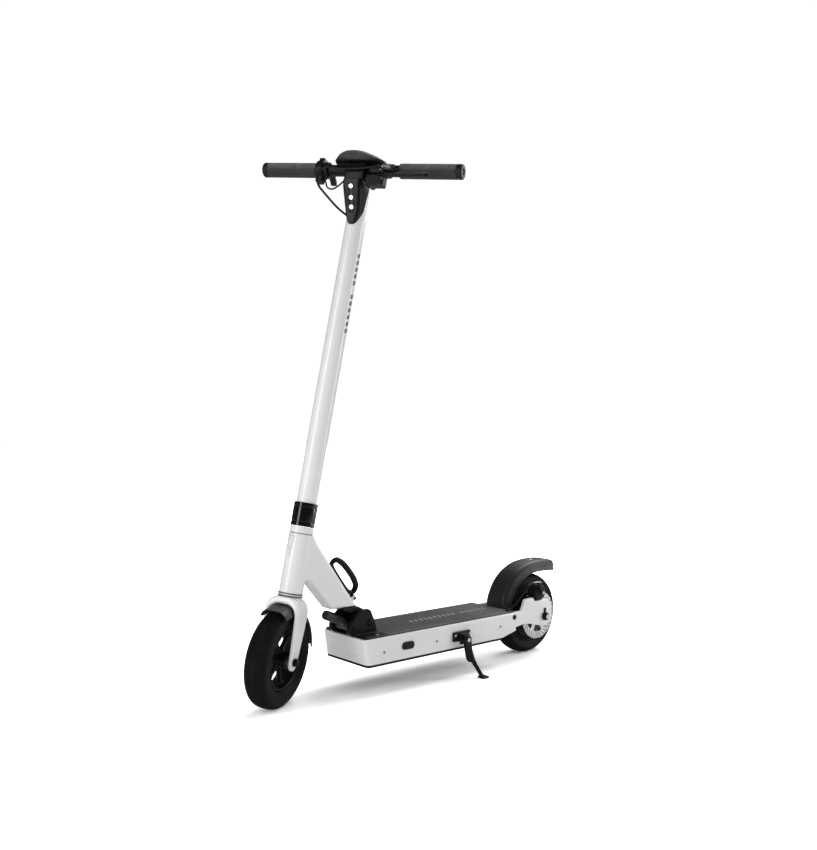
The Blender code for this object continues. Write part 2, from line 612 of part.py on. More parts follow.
# ---------------------------------------------------------------- steering assembly
def build_fork():
    fork = box("fork", (-20.0, -39.0, CROWN_LOW - 17.0), (30.0, 39.0, CROWN_TOP))
    soften(fork, 7.0, 2, 50.0)
    leg = [(-20.0, 118.0), (-20.0, 104.0), (-12.0, 40.0), (-8.0, 0.0), (-5.0, -11.0), (2.0, -18.0),
           (11.0, -18.0), (18.0, -11.0), (20.6, 0.0), (24.0, 40.0), (30.0, 104.0), (30.0, 118.0)]
    for side, name in ((1.0, "leg_left"), (-1.0, "leg_right")):
        join(fork, plate(name, leg, *sorted((side * 31.0, side * 38.9))))
    join(fork, rod("steerer", (0.0, 0.0, CROWN_LOW + 4.0), (0.0, 0.0, 340.0), STEERER_R, 28))
    inside = [(30.9, 80.0)] + [(FENDER_ROUND * math.cos(a) + 31.0 - FENDER_ROUND,
                                CROWN_LOW - FENDER_ROUND * (1.0 - math.sin(a)))
                               for a in (0.0, 0.4, 0.8, 1.2, math.pi / 2.0)]
    arch = plate("fork_arch", inside + [(-y, s) for y, s in inside[::-1]], -60.0, 60.0)
    arch.data.transform(Matrix.Rotation(math.pi / 2.0, 4, "Z"))
    cut(fork, arch, rod("steerer_bore", (0.0, 0.0, CROWN_TOP), (0.0, 0.0, 350.0), 14.5, 20),
        rod("fork_axle_bore", (TRAIL, -50.0, 0.0), (TRAIL, 50.0, 0.0), 5.3, 16))
    place(fork, bars, WHITE, smooth=30)

    stem = turned("stem_tube", [(STEM_R, STEM_TOP), (STEM_R, COLLAR_LOW + 2.0), (STEM_BORE, COLLAR_LOW + 2.0),
                                (STEM_BORE, STEM_TOP)], 28)
    place(stem, bars, WHITE, smooth=40)
    collar = turned("clamp_collar", [
        (23.6, COLLAR_TOP), (25.2, COLLAR_TOP - 1.6), (25.2, COLLAR_LOW + 1.6), (23.6, COLLAR_LOW),
        (STEM_R + GAP, COLLAR_LOW), (STEM_R + GAP, COLLAR_TOP)], 32)
    cut(collar, box("collar_split", (-32.0, -1.2, COLLAR_LOW - 5.0), (-15.0, 1.2, COLLAR_TOP + 5.0)))
    place(collar, bars, GLOSS, smooth=40)


def build_front_wheel():
    place(rod("front_axle", (TRAIL, -48.0, 0.0), (TRAIL, 48.0, 0.0), 5.0, 16), bars, STEEL, smooth=40)
    for name, side in (("front_axle_nut_left", 1.0), ("front_axle_nut_right", -1.0)):
        ends = sorted((side * 39.2, side * 46.5))
        place(nut(name, TRAIL, 0.0, ends, 8.6, 5.4), bars, BLACK)

    spin = empty("front_wheel_axis", bars, (TRAIL, 0.0, 0.0))
    place(turned("front_tyre", tyre_profile(), WHEEL_SIDES), spin, TYRE, turn=ALONG_Y, smooth=40)
    rim = turned("front_rim", [
        (62.5, 18.5), (62.5, -18.5), (59.0, -20.0), (55.5, -17.0), (55.5, 17.0), (59.0, 20.0)], 36)
    spokes = [rod("rim_hub", (0.0, 0.0, -28.5), (0.0, 0.0, 28.5), 17.0, 24)]
    for i in range(6):
        bar = box(f"rim_spoke_{i}", (12.0, -6.0, -5.0), (57.5, 6.0, 5.0))
        bar.data.transform(Matrix.Rotation(math.radians(60.0 * i), 4, "Z"))
        spokes.append(bar)
    join(rim, *spokes)
    cut(rim, rod("rim_bore", (0.0, 0.0, -40.0), (0.0, 0.0, 40.0), 5.4, 16))
    place(rim, spin, BLACK, turn=ALONG_Y, smooth=40)

    fender = fender_shell("front_fender", arc(110.0, 57.0, 164.0), arc(97.0, 57.0, 164.0), 29.5, 2.5,
                          FENDER_ROUND - 1.0)
    place(fender, bars, PLASTIC, smooth=40)


def arc(radius, start, end, steps=14):
    """Points round the front axle in the wheel's plane, from one angle to another."""
    span = [math.radians(start + (end - start) * i / steps) for i in range(steps + 1)]
    return [(TRAIL + radius * math.cos(a), radius * math.sin(a)) for a in span]


def build_handlebar():
    x, s = BAR_AHEAD, BAR_S
    bar = rod("handlebar", (x, -BAR_HALF, s), (x, BAR_HALF, s), BAR_R, 24)
    place(bar, bars, BLACK, smooth=40)
    for name, side, start in (("grip_left", 1.0, GRIP_LEFT_IN), ("grip_right", -1.0, GRIP_RIGHT_IN)):
        ends = sorted((side * start, side * GRIP_OUT))
        grip = rod(name, (x, ends[0], s), (x, ends[1], s), GRIP_R, 24)
        soften(grip, 2.0, 2, 50.0)
        inner = sorted((side * (start - 5.0), side * (BAR_HALF + GAP)))
        cut(grip, rod(name + "_bore", (x, inner[0], s), (x, inner[1], s), BAR_R + GAP, 24))
        place(grip, bars, GRIP, smooth=40)

    clamp = plate("bar_clamp", [
        (-22.0, 1009.0), (-22.0, 1026.0), (-12.0, 1046.0), (8.0, 1054.6), (36.0, 1054.6), (46.0, 1046.0),
        (50.0, 1028.0), (48.0, 1009.0)], -23.0, 23.0)
    soften(clamp, 2.0, 1)
    join(clamp, rod("clamp_plug", (0.0, 0.0, 985.0), (0.0, 0.0, 1015.0), STEM_BORE - GAP, 24))
    cut(clamp, rod("clamp_bore", (x, -40.0, s), (x, 40.0, s), BAR_R + GAP, 24))
    place(clamp, bars, BLACK, smooth=35)

    build_lamp()
    build_display()
    build_brake_lever()
    build_throttle()


def build_lamp():
    """The wedge under the bars: wide and deep at the top, pointed at the stem below."""
    sections = []
    for height, front, nose, side in (
        (919.0, 24.6, 4.0, 6.0), (924.0, 26.4, 7.5, 11.0), (934.0, 28.4, 10.5, 15.0),
        (948.0, 31.0, 13.0, 18.5), (994.0, 54.0, 16.5, 22.8), (1008.5, 57.0, 17.0, 23.0),
    ):
        sections.append([(10.0, -side, height), (front - 6.0, -side + 1.5, height), (front, -nose, height),
                         (front, nose, height), (front - 6.0, side - 1.5, height), (10.0, side, height)])
    lamp = loft("light_housing", sections)
    strip = box("lens_seat", (-1.5, -5.3, -32.2), (5.0, 5.3, 32.2))
    lens = box("led_lens", (-1.2, -5.0, -31.9), (0.6, 5.0, 31.9))
    tilt, middle = math.atan2(23.0, 46.0), (42.5, 0.0, 971.0)
    for body in (strip, lens):
        body.data.transform(Matrix.Translation(metres(middle)) @ Matrix.Rotation(tilt, 4, "Y"))
    cut(lamp, rod("lamp_saddle", (0.0, 0.0, 900.0), (0.0, 0.0, 1020.0), STEM_R + GAP, 32), strip)
    place(lamp, bars, GLOSS, smooth=25)
    for i in range(3):
        at = metres((1.1, 0.0, 25.5 * (i - 1)))
        at = Matrix.Rotation(tilt, 4, "Y") @ at
        centre = (middle[0] + at[0] / MM, 0.0, middle[2] + at[2] / MM)
        join(lens, ball(f"led_{i}", centre, (2.0, 4.2, 4.0), 12))
    place(lens, bars, LENS, smooth=40)


def build_display():
    sections = []
    for height, side, half_width, half_depth, ahead in (
        (1055.0, -4.5, 57.0, 30.0, 14.0), (1060.0, -5.0, 60.0, 33.0, 14.0), (1066.0, -8.0, 55.0, 32.0, 14.0),
        (1074.0, -14.0, 45.0, 28.0, 13.0), (1080.0, -19.0, 34.0, 23.5, 12.0),
        (1083.0, -21.0, 26.0, 18.5, 12.0),
    ):
        turns = [2.0 * math.pi * i / 32 for i in range(32)]
        sections.append([(ahead + half_depth * math.cos(t), side + half_width * math.sin(t), height)
                         for t in turns])
    dome = loft("display_housing", sections)
    cut(dome, box("screen_seat", (0.7, -38.3, 1081.2), (23.3, -10.7, 1088.0)),
        rod("button_seat", (12.0, -2.0, 1078.0), (12.0, -2.0, 1088.0), 4.3, 16))
    place(dome, bars, GLOSS, smooth=30)
    screen = box("display_screen", (1.0, -38.0, 1081.5), (23.0, -11.0, 1083.2))
    place(screen, bars, GLOSS)
    axis = empty("power_button_axis", bars, (12.0, -2.0, 1081.0))
    place(rod("power_button", (0.0, 0.0, -1.2), (0.0, 0.0, 3.6), 4.0, 16), axis, PLASTIC, smooth=40)


def build_brake_lever():
    """The lever's mount is tipped down round the bar; its parts are laid out in that frame."""
    x, s = BAR_AHEAD, BAR_S
    mount = empty("brake_mount", bars, (x, 0.0, s), (0.0, LEVER_DROOP, 0.0))
    bracket = rod("brake_bracket", (0.0, 49.0, 0.0), (0.0, 73.0, 0.0), 15.6, 24)
    join(
        bracket,
        box("bracket_arm", (8.0, 56.0, -9.0), (43.0, 74.0, 8.0)),
        box("adjuster_shelf", (20.0, 66.0, 5.0), (34.5, 93.0, 9.2)),
        box("adjuster_boss", (24.5, 86.3, 6.0), (35.5, 93.0, 18.5)),
        upright(plate("bracket_box", [
            (1.0, -45.0), (1.0, -12.0), (9.0, -6.0), (22.0, -20.0), (22.0, -45.0)], 34.0, 72.0)),
    )
    cut(
        bracket,
        rod("bracket_bar_bore", (0.0, 20.0, 0.0), (0.0, 110.0, 0.0), BAR_R + GAP, 24),
        box("lever_slot", (26.0, 50.0, -4.4), (60.0, 80.0, 4.2)),
        rod("lever_pin_bore", (36.0, 65.0, -20.0), (36.0, 65.0, 20.0), 2.8, 12),
    )
    place(bracket, mount, PLASTIC, smooth=35)
    place(rod("brake_lever_pin", (36.0, 65.0, -10.5), (36.0, 65.0, 9.5), 2.5, 12), mount, STEEL, smooth=40)

    adjuster = rod("barrel_adjuster", (30.0, 65.0, 13.9), (30.0, 86.0, 13.9), 4.3, 12)
    cut(adjuster, rod("adjuster_bore", (30.0, 60.0, 13.9), (30.0, 80.0, 13.9), 2.9, 12))
    place(adjuster, mount, STEEL, smooth=40)

    axis = empty("brake_lever_axis", mount, (36.0, 65.0, 0.0))
    lever = plate_level("brake_lever", [
        (-6.0, -5.0), (3.0, -6.5), (9.0, 0.0), (13.0, 14.0), (16.0, 40.0), (18.5, 76.0), (17.0, 106.0),
        (13.0, 110.5), (9.0, 106.0), (9.0, 76.0), (6.0, 42.0), (1.0, 16.0), (-6.0, 6.0)], -3.8, 3.8)
    cut(lever, rod("lever_eye", (0.0, 0.0, -15.0), (0.0, 0.0, 15.0), 2.8, 12))
    place(lever, axis, BLACK, smooth=35)


def upright(body):
    """Turns a body made in the tipped brake mount back level with the stem."""
    body.data.transform(Matrix.Rotation(-LEVER_DROOP, 4, "Y"))
    return body


def plate_level(name, outline, low, high):
    """An outline of (x, y) points, thickened along Z from low to high."""
    body = plate(name, outline, low, high)
    body.data.transform(Matrix.Rotation(-math.pi / 2.0, 4, "X") @ Matrix.Scale(-1.0, 4, (0.0, 1.0, 0.0)))
    body.data.flip_normals()
    return body


def build_throttle():
    x, s = BAR_AHEAD, BAR_S
    body = rod("throttle_body", (x, -100.5, s), (x, -83.0, s), 21.5, 28)
    soften(body, 2.0, 1)
    join(body, box("throttle_top", (x - 8.0, -99.0, s + 14.0), (x + 8.0, -86.0, s + 27.0)),
         box("throttle_chin", (x - 8.0, -99.0, s - 30.0), (x + 11.0, -84.0, s - 14.0)))
    cut(body, rod("throttle_bore", (x, -110.0, s), (x, -80.0, s), BAR_R + GAP, 24))
    place(body, bars, PLASTIC, smooth=35)

    axis = empty("throttle_axis", bars, (x, -77.0, s))
    paddle = rod("throttle_paddle", (0.0, -5.6, 0.0), (0.0, 5.0, 0.0), 18.0, 24)
    join(paddle, plate("paddle_blade", [(-13.0, -6.0), (-33.0, -22.0), (-36.0, -19.0), (-35.0, -14.0),
                                        (-16.0, 4.0)], -5.0, 9.0))
    cut(paddle, rod("paddle_bore", (0.0, -10.0, 0.0), (0.0, 10.0, 0.0), BAR_R + 0.6, 24))
    place(paddle, axis, PLASTIC, smooth=35)

    ahead = x + 30.0 * math.cos(LEVER_DROOP) + 13.9 * math.sin(LEVER_DROOP)
    height = s - 30.0 * math.sin(LEVER_DROOP) + 13.9 * math.cos(LEVER_DROOP)
    place(tube("brake_cable", [
        (ahead, 79.0, height), (ahead, 68.0, height), (ahead, 56.0, height), (56.5, 30.0, s - 8.0),
        (57.0, 0.0, s - 11.0), (56.0, -35.0, s - 10.0), (53.0, -66.0, s - 3.0), (50.0, -88.0, s - 14.0),
        (47.0, -84.0, s - 42.0), (48.0, -62.0, s - 62.0), (40.0, -38.0, s - 84.0), (26.0, -20.5, s - 97.5)],
        2.4, 1, 3), bars, PLASTIC, smooth=60)
    place(tube("throttle_cable", [
        (x + 6.0, -82.6, s - 22.0), (x + 8.0, -74.0, s - 26.0), (x + 12.0, -66.0, s - 46.0),
        (x + 13.0, -44.0, s - 48.0), (x + 10.0, -27.0, s - 24.0)], 1.8, 1, 3), bars, PLASTIC, smooth=60)


build_deck()
build_charge_port()
build_dropouts()
build_rear_wheel()
build_rear_fender()
build_rear_brake()
build_kickstand()
build_hinge()
build_neck()
build_fork()
build_front_wheel()
build_handlebar()
bpy.context.view_layer.update()
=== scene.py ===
"""Electric kick scooter on its kickstand, bars turned to the left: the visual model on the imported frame.

Lengths are in millimetres in the frame of the piece; the helpers turn them into metres.
"""

import json
from math import atan2, copysign, cos, hypot, pi, radians, sin, sqrt, tan

import bmesh
import bpy
from mathutils import Matrix, Vector


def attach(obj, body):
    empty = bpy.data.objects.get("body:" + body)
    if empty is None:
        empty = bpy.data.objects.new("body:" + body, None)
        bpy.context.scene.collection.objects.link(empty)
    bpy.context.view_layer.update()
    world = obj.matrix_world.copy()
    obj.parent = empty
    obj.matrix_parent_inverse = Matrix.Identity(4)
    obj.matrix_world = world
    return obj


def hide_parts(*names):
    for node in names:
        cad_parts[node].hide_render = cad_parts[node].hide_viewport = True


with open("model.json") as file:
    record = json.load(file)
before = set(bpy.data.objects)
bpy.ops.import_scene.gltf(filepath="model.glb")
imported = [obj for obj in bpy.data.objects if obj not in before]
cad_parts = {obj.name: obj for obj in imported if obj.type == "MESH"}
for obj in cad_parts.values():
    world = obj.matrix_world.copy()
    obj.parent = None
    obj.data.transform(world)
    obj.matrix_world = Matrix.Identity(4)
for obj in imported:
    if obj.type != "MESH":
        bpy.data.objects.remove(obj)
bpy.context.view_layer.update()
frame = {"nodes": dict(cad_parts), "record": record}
NODES = frame["nodes"]
MM = 0.001


# ---- frames
def shift(x, y, z):
    return Matrix.Translation((x * MM, y * MM, z * MM))


def turn(angle, axis):
    return Matrix.Rotation(angle, 4, axis)


def on_pin(pin):
    """The place of a pin that runs from side to side, given as (x, z)."""
    return shift(pin[0], 0, pin[1])


RAKE, STEER, DROOP = radians(11.2), radians(26.7), radians(31)
WHEEL_R = 99.85
BAR_AHEAD, BAR_S = 21.8, 1039
GRIP_OUT = 234.4
DECK_TOP, DECK_LOW, DECK_REAR, DECK_HALF = 124, 68, -268, 73.5
FRONT_AXLE, REAR_AXLE, CALIPER_PIN, STAND_PIN = (6.9, 0), (-381.4, 100), (-365, 162), (-80, 88)
HINGE_PIN, PEDAL_PIN, RING_PIN = (165, 150), (207, 143), (186.5, 201.5)
LEVER_X, LEVER_Y = 36, 65

ROOT = shift(3.08, -9.8, 0)
HEAD = Matrix.Translation((0.37768, -0.0098, 0.09893)) @ turn(-RAKE, "Y")
BARS = HEAD @ turn(STEER, "Z")
FRONT = BARS @ on_pin(FRONT_AXLE)
REAR = ROOT @ on_pin(REAR_AXLE)
MOUNT = BARS @ shift(BAR_AHEAD, 0, BAR_S) @ turn(DROOP, "Y")
LEVER = MOUNT @ shift(LEVER_X, LEVER_Y, 0)
PADDLE = BARS @ shift(BAR_AHEAD, -77, BAR_S)
CALIPER = ROOT @ on_pin(CALIPER_PIN)
STAND = ROOT @ on_pin(STAND_PIN)
PEDAL = ROOT @ on_pin(PEDAL_PIN)
RING = ROOT @ on_pin(RING_PIN)
ALONG_Y = turn(-pi / 2, "X")
ALONG_X = turn(pi / 2, "Y")
FACING_RIGHT = turn(pi / 2, "X")
FACING_BACK = turn(-pi / 2, "Y")
SIDES = ((1, "left"), (-1, "right"))

# Where a piece sits, and the body that it rides on.
ON_DECK, ON_NECK, ON_HEAD = (ROOT, "deck"), (ROOT, "neck"), (HEAD, "neck")
ON_BARS, ON_MOUNT = (BARS, "steering"), (MOUNT, "steering")
ON_FRONT, ON_REAR = (FRONT, "front_wheel"), (REAR, "rear_wheel")
ON_CALIPER = (CALIPER, "caliper_arm")


def facing(side):
    """Turns a piece made along Z to face left for side 1, right for side -1."""
    return ALONG_Y if side > 0 else FACING_RIGHT


# ---- materials
def new_object(name, data):
    """A new object with this data, in the scene."""
    thing = bpy.data.objects.new(name, data)
    bpy.context.scene.collection.objects.link(thing)
    return thing


class Look:
    """A material's node tree, with a short way to add nodes and link them."""

    def __init__(self, name):
        self.material = bpy.data.materials.new(name)
        self.material.use_nodes = True
        self.tree = self.material.node_tree
        self.shader = self.tree.nodes["Principled BSDF"]
        self.where = self.node("TexCoord").outputs["Object"]

    def node(self, kind, settings=None, **inputs):
        made = self.tree.nodes.new("ShaderNode" + kind)
        for key, value in (settings or {}).items():
            setattr(made, key, value)
        for key, value in inputs.items():
            self.put(made.inputs[int(key[1:]) if key[1:].isdigit() else key.replace("_", " ")], value)
        return made

    def put(self, socket, value):
        if isinstance(value, bpy.types.NodeSocket):
            self.tree.links.new(value, socket)
        else:
            socket.default_value = value

    def noise(self, scale, detail=3, rough=0.5, stretch=None):
        where = self.where
        if stretch:
            where = self.node("Mapping", Vector=where, Scale=stretch).outputs["Vector"]
        return self.node("TexNoise", Vector=where, Scale=scale, Detail=detail,
            Roughness=rough).outputs["Fac"]

    def between(self, value, low, high, start=0.3, end=0.7):
        return self.node("MapRange", Value=value, From_Min=start, From_Max=end, To_Min=low,
            To_Max=high).outputs["Result"]

    def mix(self, factor, first, second):
        made = self.node("Mix", {"data_type": "RGBA"})
        for index, value in ((0, factor), (6, first), (7, second)):
            self.put(made.inputs[index], value)
        return made.outputs[2]

    def maths(self, kind, first, second=0.5):
        return self.node("Math", {"operation": kind}, _0=first, _1=second).outputs[0]

    def bump(self, height, distance, strength=1, under=None):
        made = self.node("Bump", Height=height, Distance=distance, Strength=strength)
        if under:
            self.put(made.inputs["Normal"], under)
        return made.outputs["Normal"]

    def done(self, colour, rough, normal=None, **plain):
        for key, value in {"Base Color": colour, "Roughness": rough, **plain}.items():
            self.put(self.shader.inputs[key], value)
        if normal:
            self.put(self.shader.inputs["Normal"], normal)
        return self.material


def grey(value, tint=(1, 1, 1)):
    return tuple(value * t for t in tint) + (1,)


def paint_look(name, dark, light, rough, spread, peel, coat, shine=0.5, coat_rough=0.09):
    """Paint over metal: faint clouding, an orange-peel skin and light handling marks in the gloss."""
    look = Look(name)
    clouds = look.noise(9, 4)
    colour = look.mix(look.between(clouds, 0, 1, 0.35, 0.65), dark, light)
    rub = look.noise(45, 6, 0.65, (1, 1, 0.35))
    gloss = look.between(rub, rough - spread, rough + spread, 0.35, 0.7)
    skin = look.bump(look.noise(420, 2), peel)
    return look.done(colour, gloss, look.bump(look.noise(60, 2), peel * 1.5, 0.6, skin),
        **{"Specular IOR Level": shine, "Coat Weight": coat, "Coat Roughness": coat_rough})


def moulded_look(name, dark, light, rough, grain, depth, spread=0.08, dust=0, shine=0.5):
    """Moulded plastic or rubber: a fine spark-eroded grain, a slow change of tone and, if dust is given,
    lighter up-facing surfaces: painted light from above mixed with patchy dust.
    """
    look = Look(name)
    tone = look.between(look.noise(14, 5, 0.6), 0, 1, 0.35, 0.68)
    colour = look.mix(tone, dark, light)
    # Up-facing surfaces lightened: painted light from above, broken up by patchy dust.
    if dust:
        up = look.node("SeparateXYZ", Vector=look.node("NewGeometry").outputs["Normal"])
        lit_top_and_dust = look.maths("MULTIPLY", look.between(up.outputs["Z"], 0, dust, -0.1, 0.9),
            look.between(look.noise(60, 8, 0.7), 0.4, 1, 0.4, 0.7))
        colour = look.mix(lit_top_and_dust, colour, grey(0.28, (1, 0.97, 0.92)))
    gloss = look.between(look.noise(70, 5, 0.6), rough - spread, rough + spread)
    return look.done(colour, gloss, look.bump(look.noise(grain, 2, 0.6), depth),
        **{"Specular IOR Level": shine})


def steel_look(name, dark, light, rough, stretch, metal=1):
    """Turned or brushed metal: fine lines one way, small stains and a change in the gloss."""
    look = Look(name)
    lines = look.noise(700, 3, 0.6, stretch)
    stain = look.between(look.noise(40, 6, 0.7), 0, 1, 0.45, 0.75)
    gloss = look.between(lines, rough - 0.08, rough + 0.12)
    return look.done(look.mix(stain, light, dark), gloss, look.bump(lines, 0.00003), Metallic=metal)


# Metres between the studs of the mat and between the rings moulded in a tyre.
STUD_PITCH, RING_PITCH = 0.0052, 0.0042


def mat_look():
    """The deck's grip mat: rows of small raised lozenges in a worn, slightly dusty rubber, lighter towards
    the tail: partly wear, partly a painted reflection of the light from above.
    """
    look = Look("mat_rubber")
    spot = look.node("SeparateXYZ", Vector=look.where)
    along = look.maths("MULTIPLY", spot.outputs["X"], 2 * pi / STUD_PITCH)
    sideways = look.maths("MULTIPLY", spot.outputs["Y"], 2 * pi / STUD_PITCH)
    first = look.maths("COSINE", look.maths("ADD", along, sideways))
    second = look.maths("COSINE", look.maths("SUBTRACT", along, sideways))
    studs = look.between(look.maths("ADD", first, second), 0, 1, -0.3, 1.1)
    worn = look.between(look.noise(7, 5, 0.6), 0, 1, 0.35, 0.7)
    base = look.mix(worn, grey(0.05, (1.04, 0.96, 0.99)), grey(0.075, (1.04, 0.96, 0.99)))
    # Lighter towards the tail: painted reflection of the overhead light, partly wear where the rear foot
    # stands.
    tail_sheen_and_wear = look.mix(look.between(spot.outputs["X"], 0.5, 0, -0.24, -0.1), base,
        grey(0.17, (1.03, 0.97, 1)))
    colour = look.mix(look.maths("MULTIPLY", studs, 0.35), tail_sheen_and_wear, grey(0.11, (1.03, 0.97, 1)))
    grit = look.bump(look.noise(900, 2), 0.00006)
    return look.done(colour, look.between(look.noise(40, 4), 0.72, 0.92),
        look.bump(studs, 0.0005, 0.8, grit))


def tyre_look():
    """Solid tyre rubber: dull tread, smoother cheeks with faint mould rings, and road dust."""
    look = Look("tyre_rubber")
    ring = look.node("VectorMath", {"operation": "LENGTH"},
        _0=look.node("Mapping", Vector=look.where, Scale=(1, 0, 1)).outputs[0])
    out = ring.outputs["Value"]
    tread = look.between(out, 0, 1, 0.088, 0.096)
    dust = look.maths("MULTIPLY", look.between(look.noise(55, 7, 0.7), 0, 1, 0.45, 0.75), tread)
    colour = look.mix(look.maths("MULTIPLY", dust, 0.3), grey(0.005), grey(0.022, (1, 0.97, 0.94)))
    rings = look.maths("COSINE", look.maths("MULTIPLY", out, 2 * pi / RING_PITCH))
    gloss = look.between(tread, 0.5, 0.78, 0, 1)
    fine = look.bump(look.noise(650, 3, 0.6), 0.00007)
    faint = look.maths("MULTIPLY", rings, look.between(out, 1, 0, 0.08, 0.09))
    return look.done(colour, gloss, look.bump(faint, 0.00018, 0.7, fine), **{"Specular IOR Level": 0.13})


def lamp_look(name, colour, strength):
    """A pale surface that gives a little light of its own."""
    look = Look(name)
    glow = look.mix(look.between(look.noise(300, 2), 0, 1), colour, grey(1))
    look.put(look.shader.inputs["Emission Color"], glow)
    look.put(look.shader.inputs["Emission Strength"], strength)
    return look.done(colour, look.between(look.noise(200), 0.1, 0.2))


def greys(dark, light, tint=(1, 1, 1)):
    """The darker and the lighter grey that a look is mixed from."""
    return grey(dark, tint), grey(light, tint)


BLACK = greys(0.003, 0.005)
WHITE_TINT = (0.975, 0.98, 1)
ALONG_THE_AXIS = (1, 1, 0.03)
EVEN = (1, 1, 1)


def named_looks(make, rows):
    """One look for each row of (name, settings), all made by the same function."""
    return {name: make(name, *settings) for name, settings in rows}


def slot_looks():
    """The materials that the record's slots name."""
    looks = named_looks(paint_look, (
        ("white_paint", (*greys(0.85, 0.89, WHITE_TINT), 0.34, 0.07, 0.000035, 0.55)),
        ("black_paint", (*BLACK, 0.4, 0.08, 0.00003, 0.02, 0.2)),
        ("gloss_plastic", (*BLACK, 0.34, 0.05, 0.000012, 0.05, 0.18))))
    looks.update(named_looks(moulded_look, (
        ("black_plastic", (*greys(0.005, 0.009), 0.44, 800, 0.00006, 0.08, 0, 0.25)),
        # Grip tops made lighter: painted light from above, partly dust.
        ("grip_rubber", (*greys(0.02, 0.03), 0.6, 950, 0.00012, 0.08, 1, 0.4)),
        ("battery_wrap", ((0.02, 0.07, 0.24, 1), (0.03, 0.1, 0.3, 1), 0.35, 60, 0.0004)))))
    looks.update(named_looks(steel_look, (
        ("bright_steel", (*greys(0.42, 0.66), 0.3, ALONG_THE_AXIS)),
        ("cast_alloy", (*greys(0.25, 0.4), 0.5, EVEN)))))
    looks.update({"mat_rubber": mat_look(), "tyre_rubber": tyre_look(),
        "lens": lamp_look("lens", grey(0.9), 2.2)})
    return looks


def extra_looks():
    """Looks for details; each keeps the slot of the piece that it is on."""
    slots = {"deck_print": "mat_rubber", "stem_print": "white_paint", "collar_gloss": "gloss_plastic",
             "seam_grey": "white_paint", "seal_grey": "black_plastic", "satin_fender": "black_plastic",
             "fender_matt": "black_plastic", "satin_dome": "gloss_plastic", "badge": "white_paint",
             "smoked": "gloss_plastic", "screen_mark": "lens"}
    looks = named_looks(moulded_look, (
        ("deck_print", (*greys(0.24, 0.34), 0.8, 700, 0.00008)),
        ("stem_print", (*greys(0.12, 0.18), 0.45, 500, 0.00002)),
        # Grey seam round the badge that also paints the shade along the plate's edge.
        ("seam_grey", (*greys(0.42, 0.48), 0.6, 500, 0.00002)),
        ("seal_grey", (*greys(0.04, 0.06), 0.6, 500, 0.00002)),
        # Black plastic lighter than the rear fender's: painted sheen on the front fender and the pedal.
        ("satin_fender", (*greys(0.024, 0.034), 0.42, 800, 0.00006)),
        ("fender_matt", (*greys(0.012, 0.018), 0.44, 800, 0.00006)),
        # Display cover: raised black and a lightened top, a painted highlight.
        ("satin_dome", (*greys(0.011, 0.015), 0.5, 900, 0.00003, 0.05, 0.6, 0.6))))
    looks.update(named_looks(paint_look, (
        ("collar_gloss", (*greys(0.0015, 0.0025), 0.2, 0.05, 0.000004, 1, 0.06, 0.05)),
        ("badge", (*greys(0.8, 0.84, WHITE_TINT), 0.25, 0.05, 0.00002, 0.6)),
        ("smoked", (*BLACK, 0.25, 0.04, 0.00001, 0.15, 0.15)))))
    looks["screen_mark"] = lamp_look("screen_mark", (0.35, 0.6, 0.75, 1), 0.8)
    return {name: (slots[name], look) for name, look in looks.items()}


LOOKS = slot_looks()
EXTRA = extra_looks()


# ---- shape helpers
def fillet(points, radius, steps=5):
    """Rounds the corners of a closed outline; radius is one number or one for each corner."""
    out = []
    count = len(points)
    for i, at in enumerate(points):
        r = radius[i] if isinstance(radius, (list, tuple)) else radius
        here = Vector(at)
        back, ahead = Vector(points[i - 1]) - here, Vector(points[(i + 1) % count]) - here
        angle = back.angle(ahead, 0)
        if r <= 0:
            out.append(tuple(here))
            continue
        reach = min(r / tan(max(angle, 0.02) / 2), 0.49 * back.length, 0.49 * ahead.length)
        start, end = here + back.normalized() * reach, here + ahead.normalized() * reach
        for k in range(steps + 1):
            t = k / steps
            out.append(tuple(start * (1 - t) ** 2 + here * (2 * t * (1 - t)) + end * t * t))
    return out


def corners(x0, y0, x1, y1):
    """A rectangle's outline, from its first corner round by way of (x1, y0)."""
    return [(x0, y0), (x1, y0), (x1, y1), (x0, y1)]


def flowing(points, steps=6):
    """Points on a smooth line through the given ones."""
    rows = [Vector(p) for p in points]
    out = []
    for i in range(len(rows) - 1):
        a, b, c, d = rows[max(i - 1, 0)], rows[i], rows[i + 1], rows[min(i + 2, len(rows) - 1)]
        for k in range(steps):
            t = k / steps
            out.append(tuple(0.5 * (2 * b + (c - a) * t + (2 * a - 5 * b + 4 * c - d) * t * t
                + (3 * b - a - 3 * c + d) * t ** 3)))
    return out + [tuple(rows[-1])]


def circle(radius, count=48):
    return [(radius * cos(2 * pi * i / count), radius * sin(2 * pi * i / count)) for i in range(count)]


def swell(value, power):
    """Moves a value between -1 and 1 by a power and keeps its sign, which squares a circle's shoulders."""
    return copysign(abs(value) ** power, value)


def squared(count, power):
    """Points (u, v) round a circle of radius 1 with squared shoulders."""
    return [(swell(cos(a), power), swell(sin(a), power))
        for a in [2 * pi * k / count for k in range(count)]]


def arc(radius, start, end, steps):
    """Points on part of a circle, from one angle to another."""
    angles = [start + (end - start) * k / steps for k in range(steps + 1)]
    return [(radius * cos(a), radius * sin(a)) for a in angles]


def mesh_of(points, faces):
    """A clean closed mesh in metres from points in millimetres."""
    mesh = bpy.data.meshes.new("work")
    mesh.from_pydata([tuple(c * MM for c in p) for p in points], [], faces)
    tidy(mesh)
    return mesh


